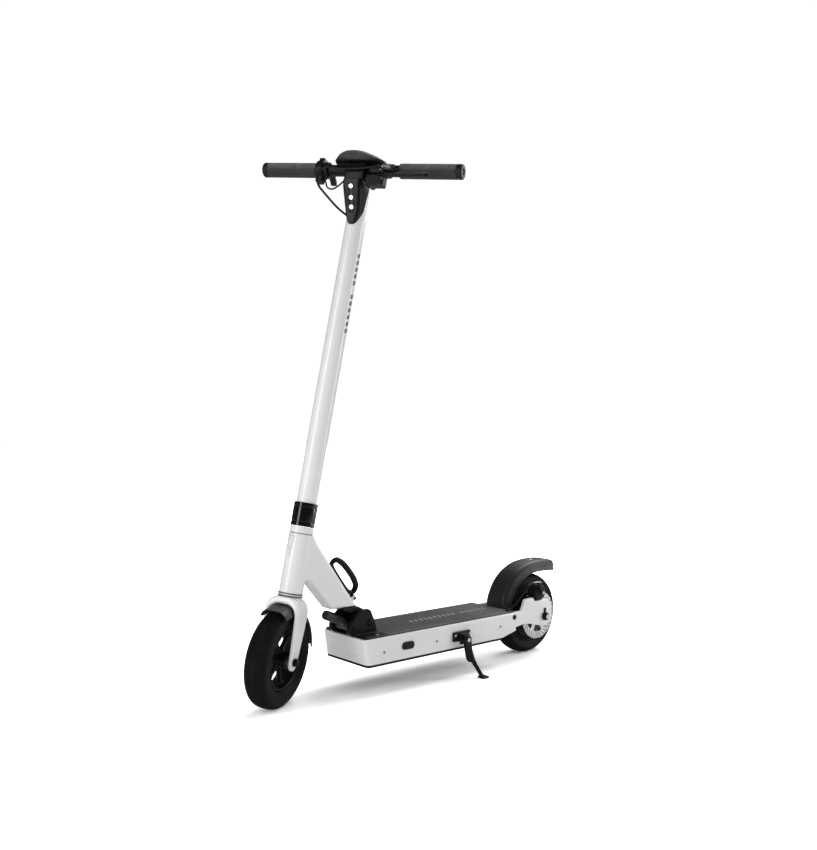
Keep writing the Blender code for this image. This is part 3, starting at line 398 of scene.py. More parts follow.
def tidy(mesh, merge=1e-6):
    """Joins points that meet and turns all the faces outward."""
    shape = bmesh.new()
    shape.from_mesh(mesh)
    bmesh.ops.remove_doubles(shape, verts=shape.verts, dist=merge)
    bmesh.ops.dissolve_degenerate(shape, edges=shape.edges, dist=1e-7)
    bmesh.ops.recalc_face_normals(shape, faces=shape.faces)
    shape.to_mesh(mesh)
    shape.free()


def skin(rings, wrap=False):
    """Faces between closed rings of points; the first and last are capped unless they meet."""
    size, count = len(rings[0]), len(rings)
    faces = []
    for a in range(count if wrap else count - 1):
        b = (a + 1) % count
        for i in range(size):
            j = (i + 1) % size
            faces.append((a * size + i, a * size + j, b * size + j, b * size + i))
    if not wrap:
        faces += [tuple(range(size))[::-1], tuple(range((count - 1) * size, count * size))]
    return mesh_of([p for ring in rings for p in ring], faces)


def lathe(outline, segments=96, radial=None):
    """A closed outline of (radius, height) turned about Z. radial(segment, r, h) may move the radius."""
    rings = []
    for i in range(segments):
        angle = 2 * pi * i / segments
        ring = []
        for r, h in outline:
            r = radial(i, r, h) if radial else r
            ring.append((r * cos(angle), r * sin(angle), h))
        rings.append(ring)
    return skin(rings, wrap=True)


def turned(outline, rounding, steps, segments=96, radial=None):
    """A body turned about Z from an outline with rounded corners."""
    return lathe(fillet(outline, rounding, steps), segments, radial)


def outline_curve(outline, low, high, edge, holes):
    """A flat filled curve with rounded edges, as thick as low to high."""
    curve = bpy.data.curves.new("work", "CURVE")
    curve.dimensions = "2D"
    curve.fill_mode = "BOTH"
    curve.extrude = ((high - low) / 2 - edge) * MM
    curve.bevel_depth, curve.bevel_resolution, curve.offset = edge * MM, 3, -edge * MM
    for loop in [outline] + list(holes):
        spline = curve.splines.new("POLY")
        spline.points.add(len(loop) - 1)
        for point, at in zip(spline.points, loop):
            point.co = (at[0] * MM, at[1] * MM, 0, 1)
        spline.use_cyclic_u = True
    return curve


def evaluated(data):
    """The mesh that an object with this data, and any modifiers on it, comes out as."""
    thing = data if isinstance(data, bpy.types.Object) else new_object("work", data)
    bpy.context.view_layer.update()
    mesh = bpy.data.meshes.new_from_object(thing.evaluated_get(bpy.context.evaluated_depsgraph_get()))
    bpy.data.objects.remove(thing)
    return mesh


UPRIGHT = turn(pi / 2, "X")
CROSSWISE = Matrix(((0, 0, 1, 0), (1, 0, 0, 0), (0, 1, 0, 0), (0, 0, 0, 1)))


def slab(outline, low, high, edge=1, holes=(), plane="XZ"):
    """An outline thickened with rounded edges: along Y for plane XZ, Z for XY and X for YZ."""
    mesh = evaluated(outline_curve(outline, low, high, edge, holes))
    middle = (low + high) / 2
    place = {"XZ": shift(0, middle, 0) @ UPRIGHT, "XY": shift(0, 0, middle),
        "YZ": shift(middle, 0, 0) @ CROSSWISE}[plane]
    mesh.transform(place)
    tidy(mesh, 1e-5)
    return mesh


def plate(outline, rounding, steps, low, high, edge=1, plane="XZ"):
    """A slab whose outline has rounded corners."""
    return slab(fillet(outline, rounding, steps), low, high, edge, plane=plane)


def pipe(path, radius, taper=None, loop=False, sides=6):
    """A round tube along a smooth path."""
    curve = bpy.data.curves.new("work", "CURVE")
    curve.dimensions = "3D"
    curve.bevel_depth, curve.bevel_resolution = radius * MM, sides
    curve.use_fill_caps, curve.resolution_u = not loop, 8
    spline = curve.splines.new("NURBS")
    spline.points.add(len(path) - 1)
    for index, at in enumerate(path):
        spline.points[index].co = (*(c * MM for c in at), 1)
        spline.points[index].radius = taper[index] if taper else 1
    spline.order_u, spline.use_endpoint_u, spline.use_cyclic_u = 3, not loop, loop
    mesh = evaluated(curve)
    tidy(mesh, 1e-5)
    return mesh


def bar(start, end, radius, sides=48, edge=0.6):
    """A straight round bar with softened ends."""
    span = Vector(end) - Vector(start)
    mesh = turned(corners(0, 0, radius, span.length), [0, edge, edge, 0], 3, sides)
    mesh.transform(shift(*start) @ span.to_track_quat("Z", "Y").to_matrix().to_4x4())
    return mesh


def across(x, z, low, high, radius, sides=48, edge=0.6):
    """A round bar from one side to the other at (x, z)."""
    return bar((x, low, z), (x, high, z), radius, sides, edge)


def brick(low, high, edge=1):
    """A box with rounded edges."""
    return slab(corners(low[0], low[1], high[0], high[1]), low[2], high[2], edge, plane="XY")


def boolean(mesh, others, operation="DIFFERENCE"):
    """A mesh with others cut from it, or the part that it shares with them."""
    body = new_object("work", mesh)
    tools = []
    for other in others:
        tool = new_object("tool", other)
        tool.hide_render = True
        change = body.modifiers.new("cut", "BOOLEAN")
        change.operation, change.solver, change.object = operation, "EXACT", tool
        tools.append(tool)
    mesh = evaluated(body)
    for tool in tools:
        bpy.data.objects.remove(tool)
    return mesh


def cast(parts, voxel=1.2, rounds=8):
    """Parts grown into one casting, with a small radius on every edge and in every corner."""
    body = new_object("work", merged(parts))
    grow = body.modifiers.new("grow", "REMESH")
    grow.mode, grow.voxel_size = "VOXEL", voxel * MM
    ease = body.modifiers.new("ease", "SMOOTH")
    ease.factor, ease.iterations = 0.5, rounds
    return evaluated(body)


def merged(parts):
    """Several separate bodies in one mesh."""
    shape = bmesh.new()
    for part in parts:
        shape.from_mesh(part)
    mesh = bpy.data.meshes.new("work")
    shape.to_mesh(mesh)
    shape.free()
    return mesh


def show(name, mesh, seat, look, replaces=(), smooth=35):
    """Puts a finished piece into the scene, riding on its body."""
    place, body = seat
    slot, material = (look, LOOKS[look]) if look in LOOKS else EXTRA[look]
    mesh.name = name
    mesh.materials.clear()
    mesh.materials.append(material)
    mesh.shade_smooth()
    mesh.set_sharp_from_angle(angle=radians(smooth))
    thing = new_object(name, mesh)
    thing.matrix_world = place
    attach(thing, body)
    if replaces:
        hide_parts(*replaces)
    return thing


NO_LIMIT = 1e9


def hexed(radius, angle, limit=NO_LIMIT):
    """The distance to a hexagon's edge, or to a circle where that is nearer."""
    side = (angle % (pi / 3)) - pi / 6
    return min(radius * cos(pi / 6) / cos(side), limit)


def stacked(rows, count):
    """A body of rings about Z. Each row is (radius, height), and a limit too where it is a hexagon."""
    rings = []
    for radius, height, *limit in rows:
        ring = []
        for i in range(count):
            a = 2 * pi * i / count
            reach = hexed(radius, a, limit[0]) if limit else radius
            ring.append((reach * cos(a), reach * sin(a), height))
        rings.append(ring)
    return skin(rings)


def bolt_mesh(radius, height, socket=0.52):
    """A button-headed screw with a hexagon socket, standing on Z = 0."""
    head = [(radius, -0.6), (radius, height * 0.45), (radius * 0.93, height * 0.75),
        (radius * 0.78, height * 0.94), (radius * 0.6, height)]
    well = [(radius * socket, height, NO_LIMIT), (radius * socket, height * 0.3, NO_LIMIT),
        (radius * 0.02, height * 0.25)]
    return stacked(head + well, 36)


def hexagon_rows(radius, height):
    """The chamfered hexagon that both kinds of nut start from."""
    return [(radius, 0, radius * 0.93), (radius, height * 0.1, NO_LIMIT),
        (radius, height * 0.86, NO_LIMIT), (radius, height, radius * 0.9)]


def nut_mesh(radius, height, bore, thread):
    """A chamfered hexagon nut on Z = 0 with the end of its axle standing through it."""
    end = [(bore + 0.3, height), (bore, height - 0.8), (bore, thread - 0.8), (bore - 0.8, thread),
        (0.1, thread)]
    return stacked(hexagon_rows(radius, height) + end, 48)


def cap_nut(radius, height, dome):
    """A closed hexagon nut on Z = 0 with a low dome over the thread."""
    cap = [(radius * 0.72, height), (radius * 0.7, dome - 1.2), (radius * 0.55, dome - 0.3),
        (radius * 0.3, dome), (0.1, dome)]
    return stacked(hexagon_rows(radius, height) + cap, 48)


def bolts(name, spots, seat, look, radius=3, height=1.8):
    """Screws at several places, one piece. Each spot is a matrix whose Z axis is the screw's."""
    parts = []
    for spot in spots:
        one = bolt_mesh(radius, height)
        one.transform(spot)
        parts.append(one)
    return show(name, merged(parts), seat, look)


# ---- wheels
TREAD_STEPS = 240


def tread(step, r, h):
    """Drops the tread into shallow grooves: two lines round the tyre and cuts across its shoulders."""
    side = abs(h)
    if r > 92:
        if 7.05 < side < 8.95:
            r -= 0.7
        if 11 < side < 21.5 and (step + (0 if h > 0 else 4)) % 8 == 0:
            r -= 0.6 * min(1, (r - 92) / 3)
    return r


def tyre_outline():
    side = [(WHEEL_R, 0), (WHEEL_R, 0.8), (WHEEL_R, 1), (WHEEL_R, 6.9), (WHEEL_R - 0.02, 7.1),
        (WHEEL_R - 0.3, 8.9), (WHEEL_R - 0.35, 9.1), (99.1, 11.6), (98.1, 14.8), (96.6, 17.6),
        (94.6, 20.2), (92, 22.4), (88.6, 24.4), (84.6, 25.3), (83.8, 24.7), (80, 24.9), (75.6, 24.3),
        (71.2, 23.3), (70.6, 22.5), (66.8, 21.4), (64, 20), (63, 18.9)]
    return side + [(r, -h) for r, h in side[:0:-1]]


def build_tyres():
    for name, seat, node in (("tyre_front", ON_FRONT, "front_tyre"), ("tyre_rear", ON_REAR, "rear_tyre")):
        mesh = lathe(tyre_outline(), TREAD_STEPS, tread)
        mesh.transform(ALONG_Y)
        show(name, mesh, seat, "tyre_rubber", [node], 50)


SPOKES = 6


def spoke_rings(steps=12, inner=13.5, outer=57.6):
    """Cross-sections of one spoke, which is waisted near its middle."""
    rings = []
    for t in range(steps + 1):
        flare = abs(t / steps - 0.52) * 2
        half_wide, half_deep = 5.2 + 3.4 * flare ** 2.2, 5 + 3.6 * flare ** 2
        reach = inner + (outer - inner) * t / steps
        rings.append([(reach, half_wide * u, half_deep * v) for u, v in squared(28, 0.7)])
    return rings


def build_front_rim():
    """A cast rim: a channelled hoop, a waisted hub and six flared spokes."""
    hoop = turned([(62.6, 18.4), (62.6, -18.4), (60.4, -20.2), (57, -19.4), (55.2, -14), (56.2, -6),
        (56.2, 6), (55.2, 14), (57, 19.4), (60.4, 20.2)], 1.2, 3, 120)
    hub = turned([(6.2, 26), (6.2, -26), (14.5, -26), (17, -23), (15.2, -8), (15.2, 8), (17, 23),
        (14.5, 26)], 1.2, 3, 60)
    parts = [hoop, hub]
    for i in range(SPOKES):
        spoke = skin(spoke_rings())
        spoke.transform(turn(2 * pi * i / SPOKES, "Z"))
        parts.append(spoke)
    rim = cast(parts, 1.25, 6)
    rim.transform(ALONG_Y)
    show("rim_front", rim, ON_FRONT, "black_paint", ["front_rim"], 60)


def build_bearing_caps():
    for side, name in SIDES:
        seal = turned([(5.5, 0), (13.2, 0), (13.2, 2.2), (9.4, 2.2), (9, 1.2), (5.5, 1.2)], 0.3, 2, 60)
        seal.transform(shift(0, side * 25.9, 0) @ facing(side))
        show(f"front_bearing_cap_{name}", seal, ON_FRONT, "bright_steel")


def build_rear_hub():
    """The motor's drum: finned covers and a machined flange for the disc."""
    profile = [(9.4, 44.3), (19.8, 44.3), (19.8, 34.4), (24, 32.8), (26, 34), (42, 29.6), (44, 28),
        (55, 25.3), (58.6, 23.6), (60.4, 22.6), (62.5, 20.8), (62.5, -20.8), (60.4, -22.6), (58.6, -23.6),
        (55, -25.3), (44, -28), (42, -29.6), (26, -34), (22, -33.6), (20, -33.9), (9.4, -33.9),
        (9.4, -28.2), (24, -25.8), (54.8, -19.8), (54.8, 19.8), (24, 25.8), (9.4, 27.8)]
    hub = turned(profile, 0.7, 3, 120)
    hub.transform(ALONG_Y)
    show("hub_rear", hub, ON_REAR, "black_paint", ["rear_hub"], 40)


def build_hub_screws():
    spots = []
    for side in (1, -1):
        for i in range(8):
            around = turn(radians(45 * i + 22.5), "Y")
            lean = turn(radians(-side * 74), "X")
            spots.append(around @ shift(0, side * 26.6, 49.5) @ lean)
    bolts("hub_screws", spots, ON_REAR, "bright_steel", 2.4, 1.4)


DRILLED, DISC_ARMS = 30, 6


def disc_holes():
    """Three staggered rows of drilled holes, the six windows between the arms, and the bore."""
    holes = []
    for row, reach in enumerate((47.3, 51.9, 56.5)):
        for i in range(DRILLED):
            a = 2 * pi * (i + row / 3) / DRILLED
            holes.append([(reach * cos(a) + 1.75 * u, reach * sin(a) + 1.75 * v)
                for u, v in circle(1, 12)])
    rounding = [3] + [0] * 11 + [3, 3] + [0] * 5 + [3]
    for i in range(DISC_ARMS):
        start, end = radians(60 * i + 9), radians(60 * i + 51)
        holes.append(fillet(arc(43, start, end, 12) + arc(22.5, end - 0.16, start, 6), rounding, 4))
    return holes + [circle(9.2, 40)]


def build_disc():
    """The drilled brake disc on its six arms, with the bolts that hold it to the hub."""
    rim = []
    for k in range(180):
        a = 2 * pi * k / 180
        r = 59.8 - 0.55 * max(0, cos(12 * a))
        rim.append((r * cos(a), r * sin(a)))
    disc = slab(rim, 44.9, 46.7, 0.25, disc_holes(), "XY")
    disc.transform(ALONG_Y)
    show("disc_rear", disc, ON_REAR, "bright_steel", ["brake_disc"], 35)
    spots = [turn(radians(60 * i), "Y") @ shift(0, 46.6, 15.2) @ ALONG_Y for i in range(DISC_ARMS)]
    bolts("disc_bolts", spots, ON_REAR, "black_paint", 3, 1.8)


AXLE_ENDS = (("front", ON_BARS, FRONT_AXLE, 39.3, 8.6, 5.4, 8.2, 5.5),
             ("rear", ON_DECK, REAR_AXLE, 69.6, 10.5, 6.4, 10.2, 6.5))


def build_axles():
    axle = across(*FRONT_AXLE, -45.5, 45.5, 4.8)
    show("axle_front", axle, ON_BARS, "bright_steel", ["front_axle"])
    for name, seat, (x, z), out, radius, height, dome, bore in AXLE_ENDS:
        for side, hand in SIDES:
            mesh = cap_nut(radius, height, dome)
            mesh.transform(shift(x, side * out, z) @ facing(side))
            show(f"nut_{name}_{hand}", mesh, seat, "black_paint", [f"{name}_axle_nut_{hand}"], 30)
            washer = turned(corners(bore, 0, radius + 1.3, 0.5), 0.15, 2, 60)
            washer.transform(shift(x, side * (out - 0.45), z) @ facing(side))
            show(f"washer_{name}_{hand}", washer, seat, "bright_steel")


# ---- deck
def deck_ring(height, inset):
    """The deck's outline at one height, drawn in by inset."""
    nose = 200 + 10 * (height - DECK_LOW) / 56 - inset
    tail = DECK_REAR + max(0, 52 * (80 - height) / 12) + inset
    half = DECK_HALF - inset
    outline = fillet(corners(tail, -half, nose, half), [0.6, 12, 12, 0.6], 10)
    return [(x, y, height) for x, y in outline]


def build_deck_case():
    """The deck's shell: ribbed sides, hollow inside, open at the tail and at the charge port."""
    levels = [(DECK_LOW + 0.9, 0.7), (DECK_LOW + 1.1, 0.3), (DECK_LOW + 1.5, 0), (74, 0), (79.99, 0),
        (80.5, 0), (86, 0), (86.2, 0.45), (87, 0.45), (87.2, 0), (114.8, 0), (115, 0.45), (115.8, 0.45),
        (116, 0), (121.8, 0), (122.9, 0.35), (123.7, 1.1), (DECK_TOP, 2.2)]
    shell = skin([deck_ring(z, inset) for z, inset in levels])
    inside = DECK_HALF - 4
    hollow = slab([(DECK_REAR + 23, 60), (195, 60), (203, 120), (DECK_REAR + 23, 120)], -inside, inside,
        2)
    pocket = brick((DECK_REAR - 6, -inside, 60), (DECK_REAR + 18, inside, 120), 1)
    port = slab(oval(15.6, 6.6), 60, 80, 0.05)
    shell = boolean(shell, [hollow, pocket, port])
    show("deck_case", shell, ON_DECK, "white_paint", ["deck_shell"], 28)


def build_deck_cover():
    cover = plate(corners(-213.5, -73.2, 199.6, 73.2), [3, 11.5, 11.5, 3], 8, 63.8, 68.5, 0.7, "XY")
    show("deck_cover", cover, ON_DECK, "black_paint", ["bottom_cover"])
    spots = [shift(x, side * 64, 63.8) @ turn(pi, "X") for x in (-204, -136, -68, 0, 68, 136, 188)
        for side in (1, -1)]
    bolts("cover_screws", spots, ON_DECK, "bright_steel", 3, 0.9)


def build_deck_mat():
    mat = plate(corners(-261.8, -70.3, 139.8, 70.3), 4, 6, 124.35, 126.9, 0.9, "XY")
    show("grip_mat", mat, ON_DECK, "mat_rubber", ["deck_mat"])
    for row in (1, -1):
        border = plate(corners(-252, row * 64 - 0.6, 130, row * 64 + 0.6), 0.4, 2, 126.5, 127, 0.1, "XY")
        show(f"mat_line_{'left' if row > 0 else 'right'}", border, ON_DECK, "deck_print")


# Place in each row of marks where the maker's lettering would be.
MARKS_LEFT_OUT = 6


def slanted_marks(count, outline_at, rounding, low, high, plane):
    """Marks in a row, one left out. outline_at gives the outline for each place in the row."""
    places = [i for i in range(count) if i != MARKS_LEFT_OUT]
    return merged([plate(outline_at(i), rounding, 2, low, high, 0.1, plane) for i in places])


def build_deck_marks():
    def outline(i):
        x = -234 + 15 * i
        return [(x, -9), (x + 6, -9), (x + 11, 9), (x + 5, 9)]
    show("mat_marks", slanted_marks(17, outline, 1, 126.4, 127, "XY"), ON_DECK, "deck_print")


def build_deck_fittings():
    spots = [shift(x, side * (DECK_HALF + 0.1), z) @ facing(side)
        for x, z in ((155, 92), (-1, 93), (-212, 97)) for side in (1, -1)]
    bolts("side_screws", spots, ON_DECK, "cast_alloy", 3.2, 0.9)
    plug = turned([(0, -1), (6.4, -1), (6.4, 0.9), (4.6, 1.5), (0, 1.5)], [0, 0.2, 0.5, 0.5, 0], 3, 48)
    plug.transform(shift(-262, DECK_HALF - 0.1, 113) @ ALONG_Y)
    show("side_plug", plug, ON_DECK, "black_plastic")
    gland = turned([(2.6, -1), (6, -1), (6, 2.2), (4.2, 5), (2.6, 5)], 0.5, 3, 40)
    gland.transform(shift(-252, 60, 126.6))
    show("cable_gland", gland, ON_DECK, "black_plastic")


def oval(half_length, half_height, steps=14, x=87, z=97):
    """The outline of a slot with round ends, round the charge port."""
    reach = half_length - half_height
    return [(x + side * (reach + half_height * cos(a)), z + side * half_height * sin(a))
        for side in (1, -1) for a in [pi * i / steps - pi / 2 for i in range(steps + 1)]]


def build_charge_port():
    socket = boolean(slab(oval(15.1, 6.1), 60, DECK_HALF - 0.25, 0.4),
        [across(87, 97, 64, 80, 4.6, 40, 0.1)])
    show("charge_inlet", socket, ON_DECK, "black_plastic", ["charge_socket"])
    pin = across(87, 97, 63, 71, 1.1, 20, 0.5)
    show("charge_contact", pin, ON_DECK, "bright_steel")
    cap = merged([slab(oval(17.9, 8.5), DECK_HALF + 0.35, DECK_HALF + 2.3, 0.7),
        slab(oval(13, 3.6), DECK_HALF + 1.6, DECK_HALF + 2.75, 0.5)])
    show("charge_flap", cap, (ROOT, "charge_cap"), "black_plastic", ["charge_cap"])


def build_dropouts():
    outline = [(-251, 84), (-251, 119.3), (-268.5, 119.3), (-268.5, 123.8), (-294, 123.8), (-304, 147.8),
        (-310, 150.8), (-336, 150.8), (-343, 141.2), (-387, 141.2), (-394, 141.9), (-404.9, 130),
        (-407.9, 112), (-407.9, 96), (-400, 82.1), (-384, 76.1), (-366, 78.1), (-330, 87.1), (-302, 90.1)]
    rounding = [1, 1, 0.5, 0.5, 8, 5, 4, 4, 7, 4, 5, 8, 8, 12, 12, 12, 20, 20, 20]
    low_edge = [(-268.5, 121.8), (-300, 121.8), (-345, 123.8), (-372, 133.8)]
    plain, plain_rounding = outline[:3] + low_edge + outline[10:], [1, 1, 0.5, 0.5, 20, 20,
        12] + rounding[10:]
    for name, low, high, edge, radii in (("left", 61.8, 69.1, outline, rounding),
            ("right", -69.1, -61.8, plain, plain_rounding)):
        cheek = plate(edge, radii, 6, low, high, 1.1)
        show(f"dropout_plate_{name}", cheek, ON_DECK, "white_paint", [f"dropout_{name}"], 40)
    for side, hand in SIDES:
        tab = plate([(-385.4, 100), (-385.4, 121), (-377.4, 121), (-377.4, 100)], 2, 4,
            *sorted((side * 69.2, side * 70.6)), 0.4)
        show(f"axle_tab_{hand}", tab, ON_DECK, "black_paint")


# ---- fenders
def fender(crest, hem, half, wall, rounding, lip):
    """A round-shouldered channel along a crest line with skirts down to a hem and a rolled lip."""
    arcs = [radians(a) for a in (0, 11, 23, 35, 47, 59, 71, 82, 90)]
    sections = []
    for top, bottom in zip(crest, hem):
        depth = hypot(bottom[0] - top[0], bottom[1] - top[1])
        inward = ((bottom[0] - top[0]) / depth, (bottom[1] - top[1]) / depth)
        outer = [(half, depth - 0.3), (half, depth - lip - 0.6), (half - 0.7, depth - lip - 1.6)]
        outer += [(half - 0.7 - rounding + rounding * cos(a), rounding - rounding * sin(a)) for a in arcs]
        inner = [(half - wall, depth - 0.3)]
        inner += [(half - rounding + (rounding - wall) * cos(a), rounding - (rounding - wall) * sin(a))
            for a in arcs]
        ring = outer + [(-y, r) for y, r in outer[::-1]] + [(-y, r) for y, r in inner] + inner[::-1]
        sections.append([(top[0] + inward[0] * r, y, top[1] + inward[1] * r) for y, r in ring])
    return skin(sections)


def build_rear_fender():
    outer = [(-268.8, 99), (-270.2, 140), (-279.2, 165), (-294.2, 187.8), (-315.2, 206.7),
        (-341.1, 220.7), (-369.1, 229.2), (-398, 232.7), (-430, 233.2), (-457.6, 230.8)]
    lower = [(-291, 99), (-293, 118), (-299, 140), (-309, 159), (-324, 178), (-345, 193.4), (-371, 202.4),
        (-400, 205.4), (-432, 204.8), (-458.6, 203.2)]
    shell = fender(flowing(outer), flowing(lower), 32.9, 3, 12, 3)
    shell = merged([shell, brick((-272, -22, 100.2), (-250.8, 22, 111.8), 1)])
    show("fender_rear", shell, ON_DECK, "fender_matt", ["rear_fender"], 50)
    rivet = turned([(0, -1), (4.4, -1), (4.4, 0.6), (2.4, 1.1), (0, 1.1)], [0, 0, 0.5, 0.8, 0], 3, 40)
    rivet.transform(shift(-404, 0, 232.6))
    show("fender_rivet", rivet, ON_DECK, "bright_steel")


def build_front_fender():
    def over_wheel(radius, lip, steps=44):
        out = []
        for i in range(steps + 1):
            a, flare = radians(60 + 104 * i / steps), lip * max(0, 1 - i / 5) ** 2
            out.append((6.9 + (radius + flare) * cos(a), (radius + flare) * sin(a)))
        return out
    shell = fender(over_wheel(109.8, 3.5), over_wheel(92, 5), 29.3, 2.2, 18.5, 1.6)
    # Its lighter black is painted sheen.
    show("fender_front", shell, ON_BARS, "satin_fender", ["front_fender"], 50)


# ---- rear brake
def build_caliper():
    body = turned([(4.4, 71.8), (4.4, 39), (15.5, 39), (19.8, 42), (19.8, 52), (18.2, 53.2), (18.2, 55),
        (19.8, 56.2), (19.8, 66.5), (17, 69.4), (12.5, 69.8), (11.8, 71.8)], 0.8, 3, 84)
    body.transform(on_pin(CALIPER_PIN) @ ALONG_Y)
    slot = across(*REAR_AXLE, 43.2, 48.4, 62.5, 96, 0.1)
    show("caliper_case", boolean(body, [slot]), ON_DECK, "black_plastic", ["caliper_body"], 35)


def build_caliper_arm():
    arm = plate([(-6, -4), (4, -6.5), (8, 2), (19, 26), (15, 33), (8, 31), (-6, 4)],
        [4, 4, 4, 4, 3, 4, 4], 5, 72.5, 75.9, 0.8)
    arm = merged([arm, across(0, 0, 61, 73, 4)])
    show("caliper_lever", arm, ON_CALIPER, "black_paint", ["caliper_arm"])
    nut = nut_mesh(3.8, 2.6, 1.8, 3.2)
    nut.transform(shift(0, 75.8, 0) @ ALONG_Y)
    show("caliper_lever_nut", nut, ON_CALIPER, "bright_steel", smooth=30)
    anchor = bolt_mesh(2.4, 1.6)
    anchor.transform(shift(13.6, 75.8, 28) @ ALONG_Y)
    show("cable_anchor", anchor, ON_CALIPER, "cast_alloy")
    wire = pipe([(43, 75, 28), (30, 76.6, 29.5), (20, 77.4, 29), (8, 77, 26)], 0.9)
    show("brake_wire", wire, ON_CALIPER, "bright_steel", smooth=60)


def build_rear_cables():
    cable = pipe([(-252, 60, 129.8), (-264, 61, 131), (-290, 70, 160), (-304, 77, 181), (-314, 76, 188),
        (-325, 75, 190)], 2.4)
    show("brake_hose_rear", cable, ON_DECK, "black_plastic", ["rear_brake_cable"], 60)
    ferrule = bar((-318, 75.6, 189.2), (-326.2, 74.9, 190.2), 3.1, 32)
    show("hose_ferrule", ferrule, ON_DECK, "black_paint")
    lead = pipe([(-381.4, -80.4, 100), (-381.4, -91, 100), (-362, -93, 94), (-318, -84, 84),
        (-284, -80, 88), (-258, -80, 94), (-240, -77, 94)], 3)
    show("motor_wire", lead, ON_DECK, "black_plastic", ["motor_lead"], 60)


# ---- kickstand
def build_stand_bracket():
    x, z = STAND_PIN
    bracket = cast([brick((-103, 73.9, 84), (-49, 79, 106), 1.2),
        brick((x - 13, 77, 77), (x + 11, 84.5, 101), 1.2)], 0.8, 5)
    bracket = boolean(bracket, [across(x, z, 70, 90, 4.4, 32, 0.1)])
    show("stand_bracket", bracket, ON_DECK, "black_paint", ["kickstand_bracket"], 50)
    spots = [shift(dx, 78.9, 98) @ ALONG_Y for dx in (-98, -54.5)]
    bolts("stand_screws", spots, ON_DECK, "bright_steel", 3, 1.8)
    pin = merged([across(x, z, 75, 97, 4), across(x, z, 96.4, 98.2, 4.6, 48, 0.8)])
    show("stand_pin", pin, ON_DECK, "bright_steel", ["kickstand_pin"])


def build_stand_leg():
    upper = plate([(-9, 0), (9, -2), (6, -20), (-1, -44), (-7, -53), (-18, -50), (-19, -40), (-12, -18)],
        4, 5, 86.2, 97.3, 2)
    shank = pipe([(-1, 90.6, -6), (-6, 93.2, -26), (-11, 96, -44), (-16, 100, -54), (-24, 107, -72),
        (-29.5, 112, -84)], 5, [1.05, 1.5, 1.45, 1, 0.95, 0.9])
    foot = brick((-41.8, 104.2, -87.9), (-22.2, 123.8, -83.2), 1.6)
    leg = cast([across(0, 0, 85.1, 96, 10.4), upper, shank, foot], 0.9, 6)
    leg = boolean(leg, [across(0, 0, 80, 110, 4.4, 32, 0.1), across(0, 0, 96.1, 110, 8, 32, 0.1)])
    show("stand_leg", leg, (STAND, "kickstand"), "black_paint", ["kickstand_leg"], 60)


# ---- fold hinge and neck
def build_hinge_block():
    base = plate(corners(140.3, -70.6, 206.6, 70.6), [2, 9, 9, 2], 6, 124.3, 127.6, 0.8, "XY")
    ear = fillet([(142.2, 125), (149.2, 150), (161.2, 175.8), (167.2, 179.8), (189.8, 179.8),
        (202.8, 170), (220.8, 151), (222.8, 132), (209.2, 125)], [1, 16, 8, 6, 8, 12, 10, 10, 1], 7)
    ears = [slab(ear, *sorted((side * 24.7, side * 35.9)), 1.6) for side in (1, -1)]
    hinge = cast([base] + ears, 1.1, 5)
    holes = [across(*pin, -50, 50, r, 40, 0.1) for pin, r in ((HINGE_PIN, 6.3), (PEDAL_PIN, 4.3))]
    show("hinge_block", boolean(hinge, holes), ON_DECK, "black_paint", ["hinge_base"], 50)


def build_hinge_bolts():
    for name, node, (x, z), r, half in (("hinge_bolt", "hinge_pin", HINGE_PIN, 6, 36.5),
            ("pedal_bolt", "fold_pedal_pin", PEDAL_PIN, 4, 36)):
        parts = [across(x, z, -half, half, r)]
        for side in (1, -1):
            head = bolt_mesh(r + 1.6, 2.6)
            head.transform(shift(x, side * 36, z) @ facing(side))
            parts.append(head)
        show(name, merged(parts), ON_DECK, "black_paint", [node])
    spots = [shift(x, side * 60, 127.5) for x, side in ((195, 1), (195, -1), (162, -1))]
    bolts("hinge_screws", spots, ON_DECK, "black_paint", 4, 2.2)
    bolts("hinge_screw_bright", [shift(164, 60, 127.5)], ON_DECK, "cast_alloy", 4, 2.2)


def build_hinge_tongue():
    knuckle = plate([(150.2, 142.2), (150.2, 158), (170, 176.8), (186, 185.5), (229, 185.5),
        (226.5, 180.7), (200, 172.2), (190.2, 160.2), (189.8, 140), (183.8, 134.2), (158, 134.2)],
        [7, 7, 5, 3, 1, 1, 4, 5, 4, 4, 7], 6, -24, 24, 1.4)
    knuckle = boolean(knuckle, [across(*HINGE_PIN, -40, 40, 6.3, 40, 0.1)])
    show("hinge_tongue", knuckle, ON_NECK, "black_paint", ["hinge_knuckle"], 40)


def pad_grooves(i, r, h):
    """Rings cut into the pedal's pad."""
    return r - (0.7 if 20 < h < 42 and r > 9.9 and int(h) % 4 == 0 else 0)


def build_fold_pedal():
    arm = plate([(-5, 5), (-1, 11), (10, 20), (18, 12), (7, 1)], 2, 4, -11.9, 11.9, 1.5)
    pad = turned(corners(0, 0, 10.2, 49), [0, 2, 6.5, 0], 8, 64, pad_grooves)
    pad.transform(shift(9, 0, 13.5) @ turn(radians(68.97), "Y"))
    lever = cast([across(0, 0, -21.9, 21.9, 7.9), arm, pad], 0.9, 5)
    lever = boolean(lever, [across(0, 0, -40, 40, 4.3, 40, 0.1)])
    # Its lighter black is painted sheen on the pedal's top.
    show("pedal_lever", lever, (PEDAL, "fold_pedal"), "satin_fender", ["fold_pedal"], 60)


def from_ring_pin(along, off):
    """A point beside the beam, measured from the pull ring's pin."""
    x, z = on_beam(along, off)
    return (x - RING_PIN[0], 0, z - RING_PIN[1])


def on_beam(along, off):
    """A point (x, z) at a distance along the neck's beam and above it."""
    return (205 + 0.6 * along - 0.8 * off, 209 + 0.8 * along + 0.6 * off)


